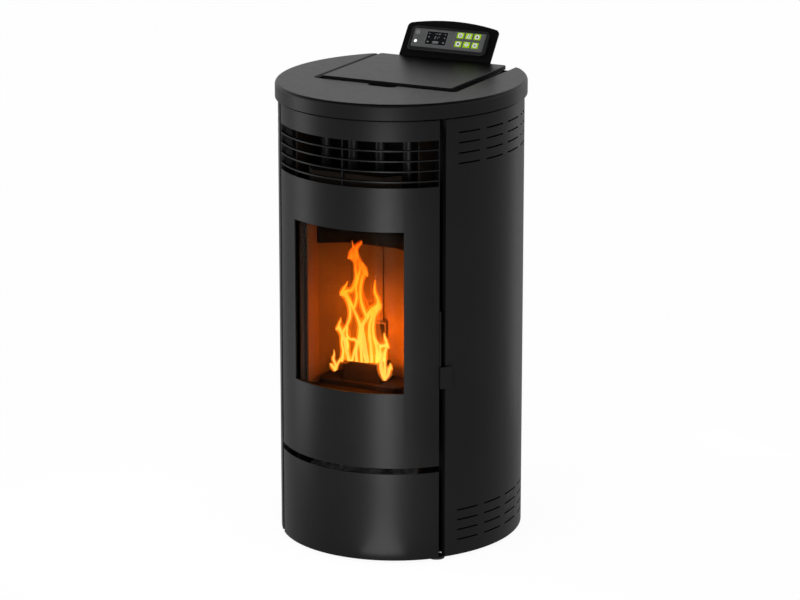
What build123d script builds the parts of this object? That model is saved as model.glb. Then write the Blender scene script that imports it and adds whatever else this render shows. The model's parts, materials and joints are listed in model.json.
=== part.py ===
from build123d import *

import os
from math import asin, cos, degrees, radians, sin, sqrt

# Pellet stove, in millimetres. +Z is up, the door faces -Y and the flue leaves at +Y.
# Plan places are measured from the centre of the front arc, heights from the floor.

# --- Casing -----------------------------------------------------------------------------
WIDTH = 500.0  # across the side panels
FRONT_STEP = 10.0  # front arc's radius below half the width
SIDE_STEP = 40.0  # side arcs' radius above half the width
FRONT_R = WIDTH / 2 - FRONT_STEP  # plan radius of the door and the drawer front
SIDE_R = WIDTH / 2 + SIDE_STEP  # plan radius of the side panels
BACK_Y = 233.0  # rear face, behind the front arc's centre
BACK_CORNER_R = 30.0
SHEET = 1.5  # casing sheet
FLOOR_GAP = 8.0  # casing's lower edge above the floor
SIDE_EDGE_ANGLE = 52.3  # from straight ahead to the side panels' front edge
SIDE_FLANGE = 15.0
BACK_SEAM_STEP = 15.1  # the side panels' seam, in from the back corner
SEAM_GAP = 4.2  # between the panels and the top plate's rim
FIT = 0.3  # clearance between neighbouring pieces

# --- Top plate --------------------------------------------------------------------------
SEAM_Z = 933.0  # lower edge of the rim
RIM_H = 32.0
RIM_OVERHANG = 6.0
RIM_ROUND = 7.0
TOP_SHEET = 3.0
CUT_SIDE_GAP = 12.5  # cut-out beyond the lid, each side
CUT_FRONT_GAP = 7.0  # cut-out in front of the lid
CUT_FLANGE = 14.0
CUT_CORNER_R = 6.0
NOTCH_W = 56.0  # finger notch in front of the lid
NOTCH_D = 16.0
NOTCH_R = 7.0

# --- Hopper lid -------------------------------------------------------------------------
LID_OVERLAP = 9.5  # lid beyond the hopper, each side
LID_FRONT_OVERLAP = 10.0
LID_BACK_GAP = 9.0  # between the lid and the rear face
LID_BACK = BACK_Y - LID_BACK_GAP
LID_PROUD = 4.0  # above the top plate
LID_DEPTH = 8.0
LID_SHEET = 2.0
LID_CORNER_R = 7.0
LID_AXIS_BACK = 13.5  # hinge axis in front of the rear face
LID_AXIS_Y = BACK_Y - LID_AXIS_BACK
LID_AXIS_DROP = 4.6  # hinge axis below the lid's skin
LID_EAR_INSET = 14.0  # ears inside the hopper's walls
LID_EDGE_ROUND = 1.4
LID_EAR_T = 3.0
LID_PIN_R = 3.0
LID_ARM_SLIM = 0.6  # bracket's arm narrower than its eye
PIN_PLAY = 0.05  # radial running clearance of every hinge pin and shaft

# --- Vent slots in the side panels ------------------------------------------------------
VENT_H = 3.2
VENT_ROWS = 4
VENT_PITCH_Z = 21.3
VENT_COLUMNS = 5
VENT_ANGLE = 10.6  # each slot's sweep about the side arc's centre
VENT_PITCH_ANGLE = 14.4
VENT_FIRST_ANGLE = -26.5  # middle of the front column, from straight across
VENT_TOP_DROP = 98.5  # lowest row of the upper set, below the rim
VENT_TOP_Z = SEAM_Z - VENT_TOP_DROP
VENT_BOTTOM_Z = 39.0  # lowest row of the lower set

# --- Door -------------------------------------------------------------------------------
DOOR_HALF_ANGLE = 49.0
DOOR_FLANGE = 24.0
DOOR_FLANGE_MARGIN = 20.0  # the flanges stop short of the hinge brackets
DOOR_Z0 = 206.0
WINDOW_BORDER = 25.2  # inner frame beyond the window, each side
WINDOW_Z0 = 364.3
WINDOW_Z1 = 702.7
WINDOW_R = 1.5
GRILLE_DROP = 40.4  # opening below the door's top
GRILLE_H = 95.2
GRILLE_Z1 = SEAM_Z - SEAM_GAP - GRILLE_DROP
GRILLE_Z0 = GRILLE_Z1 - GRILLE_H
BAR_COUNT = 4
BAR_PITCH = 21.2
BAR_FROM_TOP = 19.3
BAR_T = 2.5
BAR_DEPTH = 8.0
BAR_END_GAP = 1.8  # between the bars and the door's flanges
STIFFENER_W = 3.0
STIFFENER_DEPTH = 8.0
STIFFENER_BITE = 1.0  # its front edge inside the bars
STIFFENER_OVERLAP = 6.0  # past the opening, above and below
GRILLE_TAB_H = 4.5
GRILLE_TAB_HALF = 4.5

# --- Glass and inner door frame ---------------------------------------------------------
GLASS_T = 4.0
GLASS_GAP = 4.5  # gasket thickness in front of the glass
GLASS_BACK_GAP = 4.0  # gasket thickness behind the glass
GLASS_LAP = 11.0  # glass beyond the window, each side
GASKET_BITE = 8.0
GASKET_LIP = 2.0
FRAME_SHEET = 3.0
FRAME_MARGIN_Z = 40.0  # frame beyond the window, above and below
FRAME_CORNER_GAP = 4.96  # between the frame's corners and the door's skin
FRAME_OPEN_LAP = 4.8  # frame's opening inside the window, each side
FRAME_OPEN_MARGIN = 11.0  # frame opening beyond the window, above and below
FRAME_DEPTH = 64.0  # door's face to the frame's back
FRAME_BACK_Y = FRAME_DEPTH - FRONT_R
FRAME_STUD_EDGE = 4.0  # studs in from the frame's sides
FRAME_STUD_R = 3.5
FRAME_STUD_INSET = 22.0
ROPE_INSET = 3.0
ROPE_W = 10.0
BOX_HALF = 80.0  # flat face of the air boxes above and below the frame
BOX_FLARE = 26.0
BOX_INSET = 29.0  # air boxes' face behind the door's
BOX_FACE_Y = BOX_INSET - FRONT_R
BOX_SHEET = 2.0
BOX_RISE = 109.3  # upper air box above the window
BOX_TOP_Z = WINDOW_Z1 + BOX_RISE
BOX_DROP = 166.3  # lower air box below the window
BOX_BOTTOM_Z = WINDOW_Z0 - BOX_DROP

# --- Door hinge -------------------------------------------------------------------------
HINGE_INSET = 13.2  # hinge axis behind the door's face
HINGE_R = FRONT_R - HINGE_INSET
HINGE_ANGLE = 47.4
HINGE_PIN_R = 4.0
HINGE_PLATE = 4.0
HINGE_EYE_R = 9.0
HINGE_BRACKET_LOW = 7.0  # lower bracket above the door's foot
HINGE_BRACKET_HIGH = 13.5  # upper bracket below the door's top
HINGE_BRACKET_Z = (DOOR_Z0 + HINGE_BRACKET_LOW, SEAM_Z - SEAM_GAP - HINGE_BRACKET_HIGH)
HINGE_LUG_HALF = 7.2
HINGE_ARM_ANGLE = 40.0
HINGE_ARM_HALF = 6.0

# --- Handle -----------------------------------------------------------------------------
LEVER_GAP = 0.8  # between the door's flange and the lever
LEVER_T = 3.5
LEVER_DEPTH = 22.0
LEVER_Z0 = 371.0
LEVER_Z1 = 533.0
TAB_TOP_Z = 417.0
TAB_LENGTH = 27.0
TAB_CLEAR = 1.5
TAB_T = 3.5
HANDLE_PIN_Z = 495.0
HANDLE_PIN_DEPTH = 12.0
HANDLE_PIN_R = 4.0
HANDLE_HEAD_R = 6.5
HANDLE_HEAD_T = 1.5
HOOK_REACH = 42.0
HOOK_H = 9.0
HOOK_Z0 = 491.5
HOOK_LIP = 3.5
HOOK_LIP_RISE = 6.0
KEEPER_DEPTH = 34.0
KEEPER_Z = 505.0
KEEPER_R = 3.0
KEEPER_PLATE_BACK = 12.0  # keeper plate behind the lever's plane
KEEPER_PLATE_T = 3.0

# --- Ash drawer -------------------------------------------------------------------------
DRAWER_FRONT_Z0 = 7.0
DRAWER_GAP = 13.0  # between the drawer's front and the door
DRAWER_FRONT_Z1 = DOOR_Z0 - DRAWER_GAP
DRAWER_FLANGE = 15.0
DRAWER_SIDE_GAP = 17.3  # between the drawer and the firebox's side plates
DRAWER_INSET = 37.0  # box behind the drawer's front
DRAWER_Y0 = DRAWER_INSET - FRONT_R
DRAWER_Y1 = -22.0
DRAWER_Z0 = 32.0
DRAWER_RIM_DROP = 23.0  # box's rim below the front's top
DRAWER_Z1 = DRAWER_FRONT_Z1 - DRAWER_RIM_DROP
DRAWER_RIB_INSET = (18.0, 20.0)  # ribs in from the box's foot and rim
DRAWER_RIB_Z = (DRAWER_Z0 + DRAWER_RIB_INSET[0], DRAWER_Z1 - DRAWER_RIB_INSET[1])
DRAWER_CORNER_R = 6.0
DRAWER_RIB_T = 2.0
RUNNER_T = 2.0
RUNNER_LEDGE = 14.0
RUNNER_FOOT = 10.0
RUNNER_H = 44.0
RUNNER_INSET = 13.0  # runners behind the drawer's box
RUNNER_Y0 = DRAWER_Y0 + RUNNER_INSET

# --- Base, posts and feet ---------------------------------------------------------------
BASE_Z = 14.0
BASE_T = 3.0
BASE_INSET = 3.4
BASE_FRONT_GAP = 1.0  # behind the side panels' flanges
POST = 22.0
POST_T = 2.0
POST_FRONT_Y = -108.0
POST_FRONT_GAP = 20.3  # from the side panel
POST_BACK_STEP = 43.0  # in front of the rear face
POST_BACK_Y = BACK_Y - POST_BACK_STEP
POST_BACK_GAP = 4.3  # from the side panel
FOOT_R = 17.0
FOOT_T = 5.0
FOOT_STUD_R = 4.0
FOOT_STUD_TOP = 34.0
FOOT_FRONT_Y = -137.0
FOOT_FRONT_GAP = 23.3  # from the side panel
FOOT_BACK_STEP = 40.0  # in front of the rear face
FOOT_BACK_Y = BACK_Y - FOOT_BACK_STEP
FOOT_BACK_GAP = 38.2  # from the side panel
FOOT_NUT_R = 8.0
FOOT_NUT_T = 6.0

# --- Firebox ----------------------------------------------------------------------------
FIREBOX_GAP = 6.0  # between the inner frame and the firebox, for the rope
FIREBOX_FRONT = FRAME_BACK_Y + FIREBOX_GAP
FIREBOX_STEEL = 3.0
JAMB_LAP = 5.0  # side boards inside the inner frame's opening
JAMB_DEPTH = 49.0  # of the side boards
JAMB_BACK = FIREBOX_FRONT + JAMB_DEPTH
REAR_HALF = 60.0  # flat part of the rear board
CHAMBER_DEPTH = 90.0
REAR_Y = FIREBOX_FRONT + CHAMBER_DEPTH
RIB_HALF = 15.0
RIB_PROUD = 5.0
BOARD_T = 22.0
CHAMBER_DROP = 24.3  # chamber's floor below the window
CHAMBER_RISE = 32.3  # chamber's roof above the window
CHAMBER_Z0 = WINDOW_Z0 - CHAMBER_DROP
CHAMBER_Z1 = WINDOW_Z1 + CHAMBER_RISE
RIM_FLANGE_EDGE = 2.0  # firebox's flange beyond the inner frame
RIM_OPEN_EDGE = 2.0  # its opening beyond the side boards' faces
PLENUM_H = 65.0
PLENUM_Z0 = CHAMBER_Z0 - PLENUM_H
ASH_DUCT_HALF = 62.0
ASH_DUCT_STEP = 20.0  # behind the firebox's front
ASH_DUCT_DEPTH = 52.0
ASH_DUCT_Y0 = FIREBOX_FRONT + ASH_DUCT_STEP
ASH_DUCT_Y1 = ASH_DUCT_Y0 + ASH_DUCT_DEPTH
ASH_DUCT_GAP = 6.0  # above the drawer's rim
ASH_DUCT_Z0 = DRAWER_Z1 + ASH_DUCT_GAP
BAFFLE_DROP = 65.7  # below the window's top
BAFFLE_Z0 = WINDOW_Z1 - BAFFLE_DROP
BAFFLE_LEDGE_H = 24.0
BAFFLE_LEDGE_W = 12.0
BAFFLE_T = 15.0
BAFFLE_STEP = 42.0  # behind the firebox's front
BAFFLE_FRONT_Y = FIREBOX_FRONT + BAFFLE_STEP
TRAY_SIDE_GAP = 18.0  # between the tray and the side boards
TRAY_STEP = 2.0
TRAY_DEPTH = 80.0
TRAY_Y0 = FIREBOX_FRONT + TRAY_STEP
TRAY_Y1 = TRAY_Y0 + TRAY_DEPTH
TRAY_H = 22.0
TRAY_CORNER_R = 18.0
TRAY_EDGE_ROUND = 2.75
TRAY_BOARD_GAP = 2.0
POT_HALF = 48.0
POT_STEP = 11.0  # behind the tray's front
POT_DEPTH = 60.0
POT_Y0 = TRAY_Y0 + POT_STEP
POT_Y1 = POT_Y0 + POT_DEPTH
POT_SEAT = 6.0  # above the chamber's floor
POT_H = 54.0
POT_Z0 = CHAMBER_Z0 + POT_SEAT
POT_Z1 = POT_Z0 + POT_H
POT_WALL = 5.0
POT_CORNER_R = 9.0
POT_TAPER = 5.0
POT_RIM_ROUND = 1.6
POT_HOLE_R = 2.5
POT_HOLE_PITCH = 10.0
POT_HOLE_COLUMNS = 6
POT_HOLE_ROWS = 3
IGNITER_R = 5.0
IGNITER_TAIL = 12.0  # beyond the firebox's rear plate
IGNITER_RISE = 10.0  # above the pot's foot

# --- Exchanger, smoke duct and exhaust fan ----------------------------------------------
TUBE_R = 13.0
TUBE_WALL = 1.5
TUBE_COUNT = 4
TUBE_PITCH = 63.0
TUBE_STEP = 48.0  # behind the firebox's front
TUBE_Y = FIREBOX_FRONT + TUBE_STEP
COLLECTOR_DROP = 8.0  # below the top plate's rim
COLLECTOR_H = 22.0
COLLECTOR_Z1 = SEAM_Z - COLLECTOR_DROP
COLLECTOR_Z0 = COLLECTOR_Z1 - COLLECTOR_H
COLLECTOR_STEP = 24.0  # in front of the tubes
COLLECTOR_Y0 = TUBE_Y - COLLECTOR_STEP
COLLECTOR_ARM_X = 100.0
COLLECTOR_ARM_Y0 = -88.0
DUCT_GAP = 11.7  # between the firebox's side plate and the duct
DUCT_W = 35.0
DUCT_Y0 = -52.0
DUCT_Y1 = 30.0
DUCT_SHEET = 1.5
DUCT_FOOT_Z0 = 105.0
DUCT_FOOT_Z1 = 195.0
DUCT_FOOT_Y0 = 40.0
DUCT_FOOT_BACK = 68.0  # in front of the rear face
DUCT_FOOT_Y1 = BACK_Y - DUCT_FOOT_BACK
FAN_BACK = 113.0  # fan's axis in front of the rear face
FAN_Y = BACK_Y - FAN_BACK
FAN_Z = 150.0
FAN_R = 72.0
FAN_INSET = 87.0  # fan's inner face in from the rear seam
FAN_W = 50.0
FAN_WALL = 2.0
FAN_SPIGOT_BACK = 12.0  # fan's outlet in front of the rear panel
FAN_EYE_R = 28.0
FAN_OUTLET_H = 60.0
FAN_MOTOR_R = 34.0
FAN_MOTOR_L = 58.0
FAN_MOTOR_ROUND = 6.8
SHAFT_END_GAP = 1.0  # between a shaft's end and its bore
FLUE_R = 40.0
FLUE_WALL = 1.5
NECK_WALL = 1.0  # of a spigot's narrower neck inside the casing
FLUE_Z = 192.0
FLUE_OUT = 57.0  # spigot beyond the rear panel
IMPELLER_R = 60.0
IMPELLER_BLADES = 10
IMPELLER_GAP = 3.0  # between the disc and the fan's wall
SHAFT_R = 4.0

# --- Room fan ---------------------------------------------------------------------------
BLOWER_BACK = 93.0  # axis in front of the rear face
BLOWER_Y = BACK_Y - BLOWER_BACK
BLOWER_Z = 84.0
BLOWER_R = 32.0
BLOWER_SIDE_GAP = 60.0  # from the casing's side
BLOWER_X0 = BLOWER_SIDE_GAP - WIDTH / 2
BLOWER_FAN_GAP = 107.0  # between the two fans
BLOWER_WALL = 2.0
BLOWER_BLADES = 14
BLADE_TILT = 30.0
BLADE_T = 1.0
BLADE_W = 6.0
BLOWER_MOTOR_R = 30.0
BLOWER_MOTOR_L = 40.0
BLOWER_MOTOR_ROUND = 6.0

# --- Hopper and auger -------------------------------------------------------------------
HOPPER_SIDE_GAP = 27.0  # between the hopper and the rear posts
HOPPER_FRONT_GAP = 22.7  # between the firebox and the hopper
HOPPER_BACK_GAP = 25.0  # between the hopper and the rear face
HOPPER_Y1 = BACK_Y - HOPPER_BACK_GAP
HOPPER_SHEET = 1.5
HOPPER_RIM = 5.0
HOPPER_DROP = 6.5  # hopper's rim below the top plate's face
HOPPER_TOP_Z = SEAM_Z + RIM_H - HOPPER_DROP
HOPPER_KNEE_Z = 600.0
THROAT_HALF = 30.0
THROAT_BACK = 141.0  # throat's middle in front of the rear face
THROAT_Y = BACK_Y - THROAT_BACK
THROAT_Z = 460.0
GRATE_BARS = 7
GRATE_EDGE = 2.0
GRATE_BAR_R = 3.0
GRATE_DROP = 30.5  # below the hopper's rim
GRATE_Z = HOPPER_TOP_Z - GRATE_DROP
SEAL_W = 9.0
AUGER_BACK = 83.0  # low end of the auger's axis in front of the rear face
AUGER_LOW = (BACK_Y - AUGER_BACK, 345.0)  # as (y, z)
AUGER_LENGTH = 219.0
AUGER_SLOPE = 45.0
AUGER_TUBE_R = 27.0
AUGER_TUBE_WALL = 2.0
AUGER_R = 22.0
AUGER_SHAFT_R = 7.0
AUGER_PITCH = 36.0
AUGER_FLIGHT = 3.0
FLIGHT_BITE = 1.0  # flight's root inside the shaft
AUGER_INLET_HALF = 20.0
AUGER_INLET_S = (83.0, 135.0)
CHUTE_HALF = 22.0
CHUTE_WALL = 2.0
CHUTE_STEP = 146.0  # chute's start in front of the auger's low end
CHUTE_LIP_STEP = 10.0  # lip in front of the rear board
CHUTE_OVER = 20.0  # chute's run past its lip, before the lip is cut
CHUTE_LIP_Y = REAR_Y - CHUTE_LIP_STEP
CHUTE_START = (AUGER_LOW[0] - CHUTE_STEP, 492.0)
CHUTE_END = (CHUTE_LIP_Y - CHUTE_OVER, 436.0)
GEARBOX = 58.0
GEARBOX_L = 36.0
GEARBOX_CORNER_R = 7.25
GEAR_MOTOR_R = 24.0
GEAR_MOTOR_L = 26.0

# --- Services at the rear ---------------------------------------------------------------
AIR_PIPE_R = 25.0
AIR_PIPE_WALL = 1.5
AIR_PIPE_X = -75.0
AIR_PIPE_Z = 306.0
AIR_PIPE_OUT = 27.0
PORT_CLEAR = 1.0
REAR_TONGUE_DROP = 9.0  # tongue's top below the top plate's face
REAR_TONGUE_Z = SEAM_Z + RIM_H - REAR_TONGUE_DROP
REAR_TONGUE_INSET = 2.0  # from the seams
REAR_Z0 = 12.0
INTAKE_SLOTS = 9
INTAKE_PITCH = 9.0
INTAKE_H = 3.5
INTAKE_W = 90.0
INTAKE_INSET = 64.0  # intake's middle in from the rear seam
INLET_INSET = 52.0  # mains inlet's middle in from the rear seam
INLET_Z = 205.0
INLET_W = 60.0
INLET_H = 34.0
INLET_PLATE = 2.0
INLET_DEPTH = 28.0
SOCKET_X = -11.0  # from the inlet's middle
SOCKET_W = 24.0
SOCKET_H = 16.5
SOCKET_DEPTH = 16.0
SOCKET_PIN = 2.0
SOCKET_PIN_H = 4.0
SOCKET_PIN_L = 13.0
SOCKET_PIN_PITCH = 7.0  # outer pins from the middle one, across
SOCKET_PIN_RISE = 2.0  # middle pin above the socket's middle, outer pins below it
ROCKER_X = 17.0
ROCKER_W = 13.0
ROCKER_H = 20.0
ROCKER_DEEP = 12.0
ROCKER_CLEAR = 3.0  # above and below the rocker
ROCKER_PIN_R = 1.0
ROCKER_BACK = 5.0  # behind the rocker's axis
ROCKER_BACK_HALF = 3.0
ROCKER_UP_EDGE = 4.0  # raised end, from its foot
ROCKER_UP_OUT = 9.0  # to its tip
ROCKER_WAIST = 6.6  # middle of the face in front of the axis
ROCKER_DOWN_OUT = 4.6  # pressed end, from its tip
ROCKER_DOWN_EDGE = 1.0  # to its foot
BOARD_INSET = 20.0  # control box in from the rear seam
BOARD_W = 112.0
BOARD_CORNER_R = 4.0
BOARD_SLOTS = 9
BOARD_SLOT_PITCH = 8.0
BOARD_SLOT_W = 67.2
BOARD_SLOT_H = 2.0
BOARD_DEPTH = 28.0
BOARD_Z0 = 420.0
BOARD_Z1 = 560.0
SCREW_R = 2.0
SCREW_HEAD_R = 4.2
SCREW_HEAD_T = 2.4
SCREW_LENGTH = 8.0
SCREW_EDGE = 9.0  # in from the rear seam
SCREW_COUNT = 4
SCREW_LOW_Z = 60.0
SCREW_TOP_DROP = 33.0  # highest screws below the rim
SEAM_LIP = 16.0  # side panels' lip behind the rear panel

# --- Control panel ----------------------------------------------------------------------
POD_LEAN = 37.2  # of the plate, back from vertical
POD_RISE = 4.5  # where the plate starts to lean, above the top plate
POD_Z = SEAM_Z + RIM_H + POD_RISE
POD_T = 2.0
POD_HALF = 107.0
POD_CROWN_H = 87.0
POD_SHOULDER_R = 11.0
POD_ARCH_R = 470.0
POD_TAIL = 60.0  # upright part below the lean
BEZEL_HALF = 90.0
BEZEL_V0 = 9.5
BEZEL_V1 = 66.5
BEZEL_H = 8.0
BEZEL_R = 9.0
POCKET_HALF = 84.0
POCKET_V0 = 17.5
POCKET_V1 = 61.0
POCKET_R = 3.0
BEZEL_ROUND = 1.6
POCKET_Z = 4.6  # pocket floor above the plate
STEP_Z = 5.8  # step that carries the membrane
STEP_W = 1.0
MEMBRANE_T = 1.5
KEY_W = 15.6
KEY_H = 13.6
KEY_U = (24.9, 44.6, 64.3)
KEY_V = (31.9, 52.1)
KEY_PROUD = 0.6
KEY_LIP = 0.5
KEY_LIP_T = 0.5
KEY_REST = 0.6  # key above the pocket's floor
DISPLAY_U = -28.3
DISPLAY_V = 40.6
DISPLAY_W = 47.5
DISPLAY_H = 29.5
DISPLAY_SUNK = 0.2
EYE_U = -75.0
EYE_V = 51.4
EYE_R = 4.6
LED_V = 30.8
LED_R = 3.0
HOUSING_HALF = 86.0
HOUSING_V0 = 13.0
HOUSING_V1 = 62.0
HOUSING_DEPTH = 20.0
HOUSING_WALL = 2.0
HOUSING_ROUND = 4.0
KEY_CORNER_R = 0.6

# --- Derived places ---------------------------------------------------------------------
TOP_Z = SEAM_Z + RIM_H
LID_Z = TOP_Z + LID_PROUD
PANEL_TOP = SEAM_Z - SEAM_GAP
SPREAD = degrees(asin(SIDE_STEP / (FRONT_STEP + SIDE_STEP)))
SIDE_CX = (SIDE_R - FRONT_R) * sin(radians(SPREAD))
SIDE_CY = (SIDE_R - FRONT_R) * cos(radians(SPREAD))
FRONT_REACH = FRONT_R + RIM_OVERHANG
REAR_REACH = BACK_Y + FLUE_OUT
AXIS_Y = (FRONT_REACH - REAR_REACH) / 2  # puts the part's origin at its middle
REAR_INNER = BACK_Y - SHEET
BACK_CORNER_X = sqrt(SIDE_R**2 - (BACK_Y - SIDE_CY) ** 2) - SIDE_CX
BACK_SEAM_X = BACK_CORNER_X - BACK_SEAM_STEP  # where the side panels meet the rear panel
SHEET_ANGLE = degrees(SHEET / FRONT_R)
GLASS_R = FRONT_R - SHEET - GLASS_GAP
GLASS_BACK_R = GLASS_R - GLASS_T
FRAME_R = GLASS_BACK_R - GLASS_BACK_GAP
FRAME_CORNER_R = FRONT_R - SHEET - FRAME_CORNER_GAP
FRAME_HALF = sqrt(FRAME_CORNER_R**2 - (FRAME_BACK_Y - FRAME_SHEET) ** 2)
FRAME_STUD_X = FRAME_HALF - FRAME_STUD_EDGE
WINDOW_HALF = FRAME_HALF - WINDOW_BORDER
FRAME_OPEN_HALF = WINDOW_HALF - FRAME_OPEN_LAP
JAMB_X = FRAME_OPEN_HALF - JAMB_LAP  # faces of the side boards
RIM_FLANGE_HALF = FRAME_HALF + RIM_FLANGE_EDGE
RIM_OPEN_HALF = JAMB_X + RIM_OPEN_EDGE
TRAY_HALF = JAMB_X - TRAY_SIDE_GAP
SHELL_HALF = JAMB_X + BOARD_T + FIT
SHELL_BACK = REAR_Y + BOARD_T + FIT
SHELL_OUT = SHELL_HALF + FIREBOX_STEEL
DRAWER_HALF = SHELL_HALF - DRAWER_SIDE_GAP
DUCT_X0 = SHELL_OUT + DUCT_GAP
DUCT_X1 = DUCT_X0 + DUCT_W
FAN_X0 = BACK_SEAM_X - FAN_INSET
FAN_X1 = FAN_X0 + FAN_W
FLUE_X = FAN_X0 + FAN_W / 2
BLOWER_X1 = FAN_X0 - BLOWER_FAN_GAP
INTAKE_X = INTAKE_INSET - BACK_SEAM_X
INLET_X = INLET_INSET - BACK_SEAM_X
BOARD_X0 = BOARD_INSET - BACK_SEAM_X
BOARD_X1 = BOARD_X0 + BOARD_W
REAR_TONGUE_HALF = BACK_SEAM_X - REAR_TONGUE_INSET
SCREW_X = BACK_SEAM_X - SCREW_EDGE
SCREW_PITCH = (SEAM_Z - SCREW_TOP_DROP - SCREW_LOW_Z) / (SCREW_COUNT - 1)
SCREW_Z = [SCREW_LOW_Z + SCREW_PITCH * row for row in range(SCREW_COUNT)]
GLASS_HALF = WINDOW_HALF + GLASS_LAP
GLASS_Z0 = WINDOW_Z0 - GLASS_LAP
GLASS_Z1 = WINDOW_Z1 + GLASS_LAP
FRAME_Z0 = WINDOW_Z0 - FRAME_MARGIN_Z
FRAME_Z1 = WINDOW_Z1 + FRAME_MARGIN_Z
OPEN_Z0 = WINDOW_Z0 - FRAME_OPEN_MARGIN
OPEN_Z1 = WINDOW_Z1 + FRAME_OPEN_MARGIN
FAR = 2 * WIDTH  # past everything, for cuts

PLAN = Plane(origin=(0, AXIS_Y, 0))
PROFILE = Plane(origin=(0, AXIS_Y, 0), x_dir=(0, 1, 0), z_dir=(1, 0, 0))
FACE = Plane(origin=(0, AXIS_Y, 0), x_dir=(1, 0, 0), z_dir=(0, -1, 0))


def inside_x(y, gap):
    """Half the casing's inner width at y, less a gap square to the side panel."""
    return sqrt((SIDE_R - SHEET - gap) ** 2 - (y - SIDE_CY) ** 2) - SIDE_CX


POST_FRONT = (inside_x(POST_FRONT_Y - POST / 2, POST_FRONT_GAP) - POST / 2, POST_FRONT_Y)
POST_BACK = (inside_x(POST_BACK_Y + POST / 2, POST_BACK_GAP) - POST / 2, POST_BACK_Y)
FOOT_FRONT = (inside_x(FOOT_FRONT_Y, FOOT_FRONT_GAP), FOOT_FRONT_Y)
FOOT_BACK = (inside_x(FOOT_BACK_Y, FOOT_BACK_GAP), FOOT_BACK_Y)
HOPPER_HALF = POST_BACK[0] - POST / 2 - HOPPER_SIDE_GAP
HOPPER_Y0 = SHELL_BACK + FIREBOX_STEEL + HOPPER_FRONT_GAP
GRATE_PITCH = (HOPPER_HALF - GRATE_EDGE) / (GRATE_BARS // 2 + 1)
LID_HALF = HOPPER_HALF + LID_OVERLAP
LID_FRONT = HOPPER_Y0 - LID_FRONT_OVERLAP
LID_EAR_X = HOPPER_HALF - LID_EAR_INSET
CUT_HALF = LID_HALF + CUT_SIDE_GAP
CUT_FRONT = LID_FRONT - CUT_FRONT_GAP


def level(z):
    """Horizontal plane at height z."""
    return PLAN.offset(z)


def across(x):
    """Plane square to X, with (y, z) as its axes."""
    return PROFILE.offset(x)


def facing(y):
    """Upright plane at y that faces the front, with (x, z) as its axes."""
    return FACE.offset(-y)


def rect(x0, x1, y0, y1):
    """Rectangle between two corners."""
    with BuildSketch() as shape:
        with Locations(((x0 + x1) / 2, (y0 + y1) / 2)):
            Rectangle(x1 - x0, y1 - y0)
    return shape.sketch


def arc_band(centre, r_in, r_out, start, sweep):
    """Ring sector about a centre, its angles counted from +X."""
    with BuildSketch() as band:
        with BuildLine():
            outer = CenterArc(centre, r_out, start, sweep)
            inner = CenterArc(centre, r_in, start, sweep)
            Line(outer @ 0, inner @ 0)
            Line(outer @ 1, inner @ 1)
        make_face()
    return band.sketch


def front_band(r_in, r_out, half_angle):
    """Ring sector about the front arc's centre, even about straight ahead."""
    return arc_band((0, 0), r_in, r_out, -90 - half_angle, 2 * half_angle)


def on_front(angle, radius):
    """Plan point at an angle from straight ahead, positive to the right."""
    return (radius * sin(radians(angle)), -radius * cos(radians(angle)))


def casing_plan(inset):
    """Area inside the casing's outline, moved in by inset (a negative inset is outside it)."""
    front_r = FRONT_R - inset
    side_r = SIDE_R - inset
    back_y = BACK_Y - inset
    back_angle = degrees(asin((back_y - SIDE_CY) / side_r))
    sweep = 90 - SPREAD + back_angle
    with BuildSketch() as plan:
        with BuildLine():
            CenterArc((0, 0), front_r, -90 - SPREAD, 2 * SPREAD)
            right = CenterArc((-SIDE_CX, SIDE_CY), side_r, -90 + SPREAD, sweep)
            left = CenterArc((SIDE_CX, SIDE_CY), side_r, 180 - back_angle, sweep)
            Line(right @ 1, left @ 0)
        make_face()
        fillet(plan.vertices().group_by(Axis.Y)[-1], radius=BACK_CORNER_R - inset)
    return plan.sketch


def flanged_front(flange, half_angle):
    """Curved sheet with a radial flange at each end."""
    with BuildSketch() as sheet:
        add(front_band(FRONT_R - flange, FRONT_R, half_angle))
        inner = front_band(FRONT_R - 2 * flange, FRONT_R - SHEET, half_angle - SHEET_ANGLE)
        add(inner, mode=Mode.SUBTRACT)
    return sheet.sketch


def lid_cut(grow):
    """Hopper cut-out with its finger notch, grown all round."""
    half = CUT_HALF + grow
    notch = NOTCH_W / 2 + grow
    with BuildSketch() as cut:
        add(rect(-half, half, CUT_FRONT - grow, FAR))
        fillet(cut.vertices().group_by(Axis.Y)[0], radius=CUT_CORNER_R + grow)
        with BuildSketch(mode=Mode.PRIVATE) as bay:
            add(rect(-notch, notch, CUT_FRONT - NOTCH_D - grow, CUT_FRONT + NOTCH_W))
            fillet(bay.vertices().group_by(Axis.Y)[0], radius=NOTCH_R + grow)
        add(bay.sketch)
    return cut.sketch


def finish(part, name):
    """Label a finished piece and write it."""
    part.label = name
    export_step(part, f"parts/{name}.step")


os.makedirs("parts", exist_ok=True)

# --- Base plate and posts ---------------------------------------------------------------
with BuildPart() as base_plate:
    with BuildSketch(level(BASE_Z)):
        add(casing_plan(BASE_INSET))
        flange_end = FRONT_R - SIDE_FLANGE - BASE_FRONT_GAP
        add(front_band(flange_end, FRONT_R, SPREAD), mode=Mode.SUBTRACT)
        with Locations(*[(side * x, y) for side in (-1, 1) for x, y in (FOOT_FRONT, FOOT_BACK)]):
            Circle(FOOT_STUD_R + PIN_PLAY, mode=Mode.SUBTRACT)
    extrude(amount=BASE_T)
    with BuildSketch(level(BASE_Z + BASE_T)):
        with Locations(*[(side * x, y) for side in (-1, 1) for x, y in (FOOT_FRONT, FOOT_BACK)]):
            RegularPolygon(FOOT_NUT_R, 6)
            Circle(FOOT_STUD_R + PIN_PLAY, mode=Mode.SUBTRACT)
    extrude(amount=FOOT_NUT_T)
finish(base_plate.part, "base_plate")

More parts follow.
